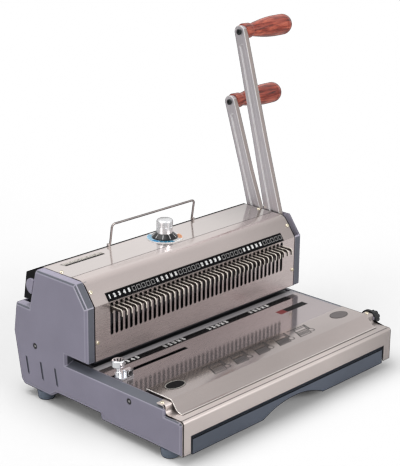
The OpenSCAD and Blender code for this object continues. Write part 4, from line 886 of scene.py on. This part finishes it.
# Dark face with a bright ring and a dark cap on the side guide's block
GUIDE_X, GUIDE_FRONT, RECESS_Y, RECESS_Z, ROUND = -180, 118.5, 121.5, 75.3, 28
recess = Matrix.Translation(at(GUIDE_X, RECESS_Y, RECESS_Z)) @ Matrix.Rotation(math.pi / 2, 4, "X")
for name, mat, closed, section in (
    ("guide_ring", CHROME, True, ((3.0, 0), (3.5, 0), (3.5, 3.5), (3.3, 3.7), (3.0, 3.7))),
    ("guide_cap", KNOB, False, ((2.9, 0), (2.9, 2.6), (2.3, 3.1), (0.9, 3.2), (0.3, 2.8))),
):
    bm = bmesh.new()
    angles = [2 * math.pi * i / ROUND for i in range(ROUND)]
    rings = [[bm.verts.new(recess @ (Vector((r * math.cos(a), r * math.sin(a), z)) * MM)) for a in angles]
             for r, z in section]
    if closed:
        rings.append(rings[0])
    skin(bm, rings)
    bmesh.ops.holes_fill(bm, edges=bm.edges)
    bmesh.ops.recalc_face_normals(bm, faces=bm.faces)
    to_object(name, bm, mat, "guide")
face_w, face_h, face_z, corner_r = 4.3, 3.6, 74.3, 0.7
outline = [(math.copysign(face_w, x) + corner_r * x, face_z + math.copysign(face_h, y) + corner_r * y)
           for x, y in oval(0, 0, 1, 1, 24)]
bm = bmesh.new()
plate(bm, outline, 0.12, surface(at(GUIDE_X, GUIDE_FRONT, 0), (0, 0, 1)))
to_object("guide_face", bm, KNOB, "guide")

# Plain ovals, line drawings of a generic kind and a plain label in two colours
OVAL_Y, OVAL_RX, OVAL_RY = 59, 16, 10.4
nose_top = level_surface(NOSE_HIGH.z)
for name, x, mat, field in (("left_oval", -160, SCALE, INK_BLACK), ("right_oval", 164, INK_DARK, DRAWING)):
    for part, inset, tone in (("rim", 0, field), ("ring", 0.8, mat), ("field", 1.4, field)):
        bm = bmesh.new()
        plate(bm, oval(x, OVAL_Y, OVAL_RX - inset, OVAL_RY - inset), 0.25 + 0.05 * inset, nose_top)
        to_object(f"{name}_{part}", bm, tone, "chassis")


def skewed(x, y, w, h, lean):
    """The outline of a leaning box."""
    return [(x, y), (x + w, y), (x + w + lean, y + h), (x + lean, y + h)]


DRAWINGS, DRAWING_X, DRAWING_STEP = 5, -106, 42
lines, fills = bmesh.new(), bmesh.new()
for k in range(DRAWINGS):
    x = DRAWING_X + DRAWING_STEP * k
    closed_line(lines, skewed(x + 4, 46, 22, 13, 6), 1.2, nose_top)
    closed_line(lines, skewed(x + 10, 59, 22, 7, 3), 1.2, nose_top)
    closed_line(lines, oval(x + 33, 52, 4.4, 4.4, 14), 1, nose_top)
    closed_line(lines, skewed(x + 34, 57, 1.6, 13, 4), 1, nose_top)
    for j in range(7):
        closed_line(lines, skewed(x + 6 + 3 * j, 49, 0.8, 7, 3), 0.8, nose_top)
        closed_line(lines, skewed(x + 3 + 5.4 * j, 69, 3, 0.8, 0.3), 0.8, nose_top)
    if 0 < k < DRAWINGS - 1:
        plate(fills, skewed(x + 5, 47, 20, 11, 5), THIN, nose_top)
to_object("drawing_lines", lines, INK_DARK, "chassis")
to_object("drawing_fills", fills, DRAWING, "chassis")
LABEL_Y = (121, 132)
for name, x0, x1, mat in (("label_dark", 128.6, 172, INK_BLACK), ("label_red", 114, 128, INK_RED)):
    strips(name, mat, "chassis", 0.12, table_face, (x0, LABEL_Y[0], x1, LABEL_Y[1]))

# Floor
FLOOR_HALF, FLOOR_Z = 6, -0.0003
mesh = bpy.data.meshes.new("floor")
corners = [(x * FLOOR_HALF, y * FLOOR_HALF, FLOOR_Z) for x, y in ((-1, -1), (1, -1), (1, 1), (-1, 1))]
mesh.from_pydata(corners, [], [range(4)])
mesh.materials.append(material("floor_paper", grey(0.7), 0.9)[0])
floor = bpy.data.objects.new("floor", mesh)
scene.collection.objects.link(floor)
floor.is_shadow_catcher = True

# World: white where it is seen, directly, mirrored or through, and softer as a light
scene.world = bpy.data.worlds.new("studio")
scene.world.use_nodes = True
tree = scene.world.node_tree
tree.nodes.clear()
path = tree.nodes.new("ShaderNodeLightPath")
seen = path.outputs["Is Camera Ray"]
for ray in ("Is Glossy Ray", "Is Transmission Ray"):
    either = tree.nodes.new("ShaderNodeMath")
    either.operation = "MAXIMUM"
    tree.links.new(seen, either.inputs[0])
    tree.links.new(path.outputs[ray], either.inputs[1])
    seen = either.outputs[0]
mix = tree.nodes.new("ShaderNodeMixShader")
tree.links.new(seen, mix.inputs["Fac"])
for socket, colour, strength in ((1, (1, 0.99, 0.985, 1), 0.3), (2, grey(1), 1)):
    light = tree.nodes.new("ShaderNodeBackground")
    light.inputs["Color"].default_value = colour
    light.inputs["Strength"].default_value = strength
    tree.links.new(light.outputs[0], mix.inputs[socket])
output = tree.nodes.new("ShaderNodeOutputWorld")
tree.links.new(mix.outputs[0], output.inputs["Surface"])


# Lamps

def softbox(name, place, target, size, power):
    """A soft rectangular lamp that faces a place, in metres and watts."""
    lamp = bpy.data.lights.new(name, "AREA")
    lamp.shape = "RECTANGLE"
    lamp.size, lamp.size_y = size
    lamp.energy = power
    obj = bpy.data.objects.new(name, lamp)
    obj.location = place
    obj.rotation_euler = (Vector(target) - Vector(place)).to_track_quat("-Z", "Y").to_euler()
    scene.collection.objects.link(obj)


softbox("top", (-0.5, 0.5, 2.2), (0, 0, 0.1), (1.8, 1.8), 30)
softbox("side", (-2.2, 0.3, 0.9), (0, 0, 0.12), (1.4, 1.4), 9)
softbox("front", (0.4, -2.2, 1.1), (0, 0, 0.12), (1.4, 1.2), 24)

# Camera, fitted to the photograph: the image's size, its centre and the focal length are in pixels
IMAGE_W, IMAGE_H = 400, 466
CENTRE_X, CENTRE_Y, FOCAL = 190.2, 214.6, 1359.4
AZIMUTH, ELEVATION, ROLL = math.radians(-46.07), math.radians(17.84), math.radians(0.462)
TARGET, DISTANCE = at(8.39, 197.84, 221.89), 1.8328
level = Vector((math.sin(AZIMUTH), -math.cos(AZIMUTH), 0))
back = level * math.cos(ELEVATION) + Vector((0, 0, math.sin(ELEVATION)))
right = Vector((0, 0, 1)).cross(back).normalized()
up = back.cross(right)
right, up = right * math.cos(ROLL) + up * math.sin(ROLL), up * math.cos(ROLL) - right * math.sin(ROLL)
lens = bpy.data.cameras.new("photo")
lens.sensor_width = 36
lens.lens = FOCAL * lens.sensor_width / IMAGE_H
lens.shift_x = (IMAGE_W / 2 - CENTRE_X) / IMAGE_H
lens.shift_y = (CENTRE_Y - IMAGE_H / 2) / IMAGE_H
lens.clip_end = 20
camera = bpy.data.objects.new("photo", lens)
turned = Matrix((right, up, back)).transposed().to_4x4()
camera.matrix_world = Matrix.Translation(TARGET + back * DISTANCE) @ turned
scene.collection.objects.link(camera)
scene.camera = camera
scene.view_settings.view_transform = "Standard"
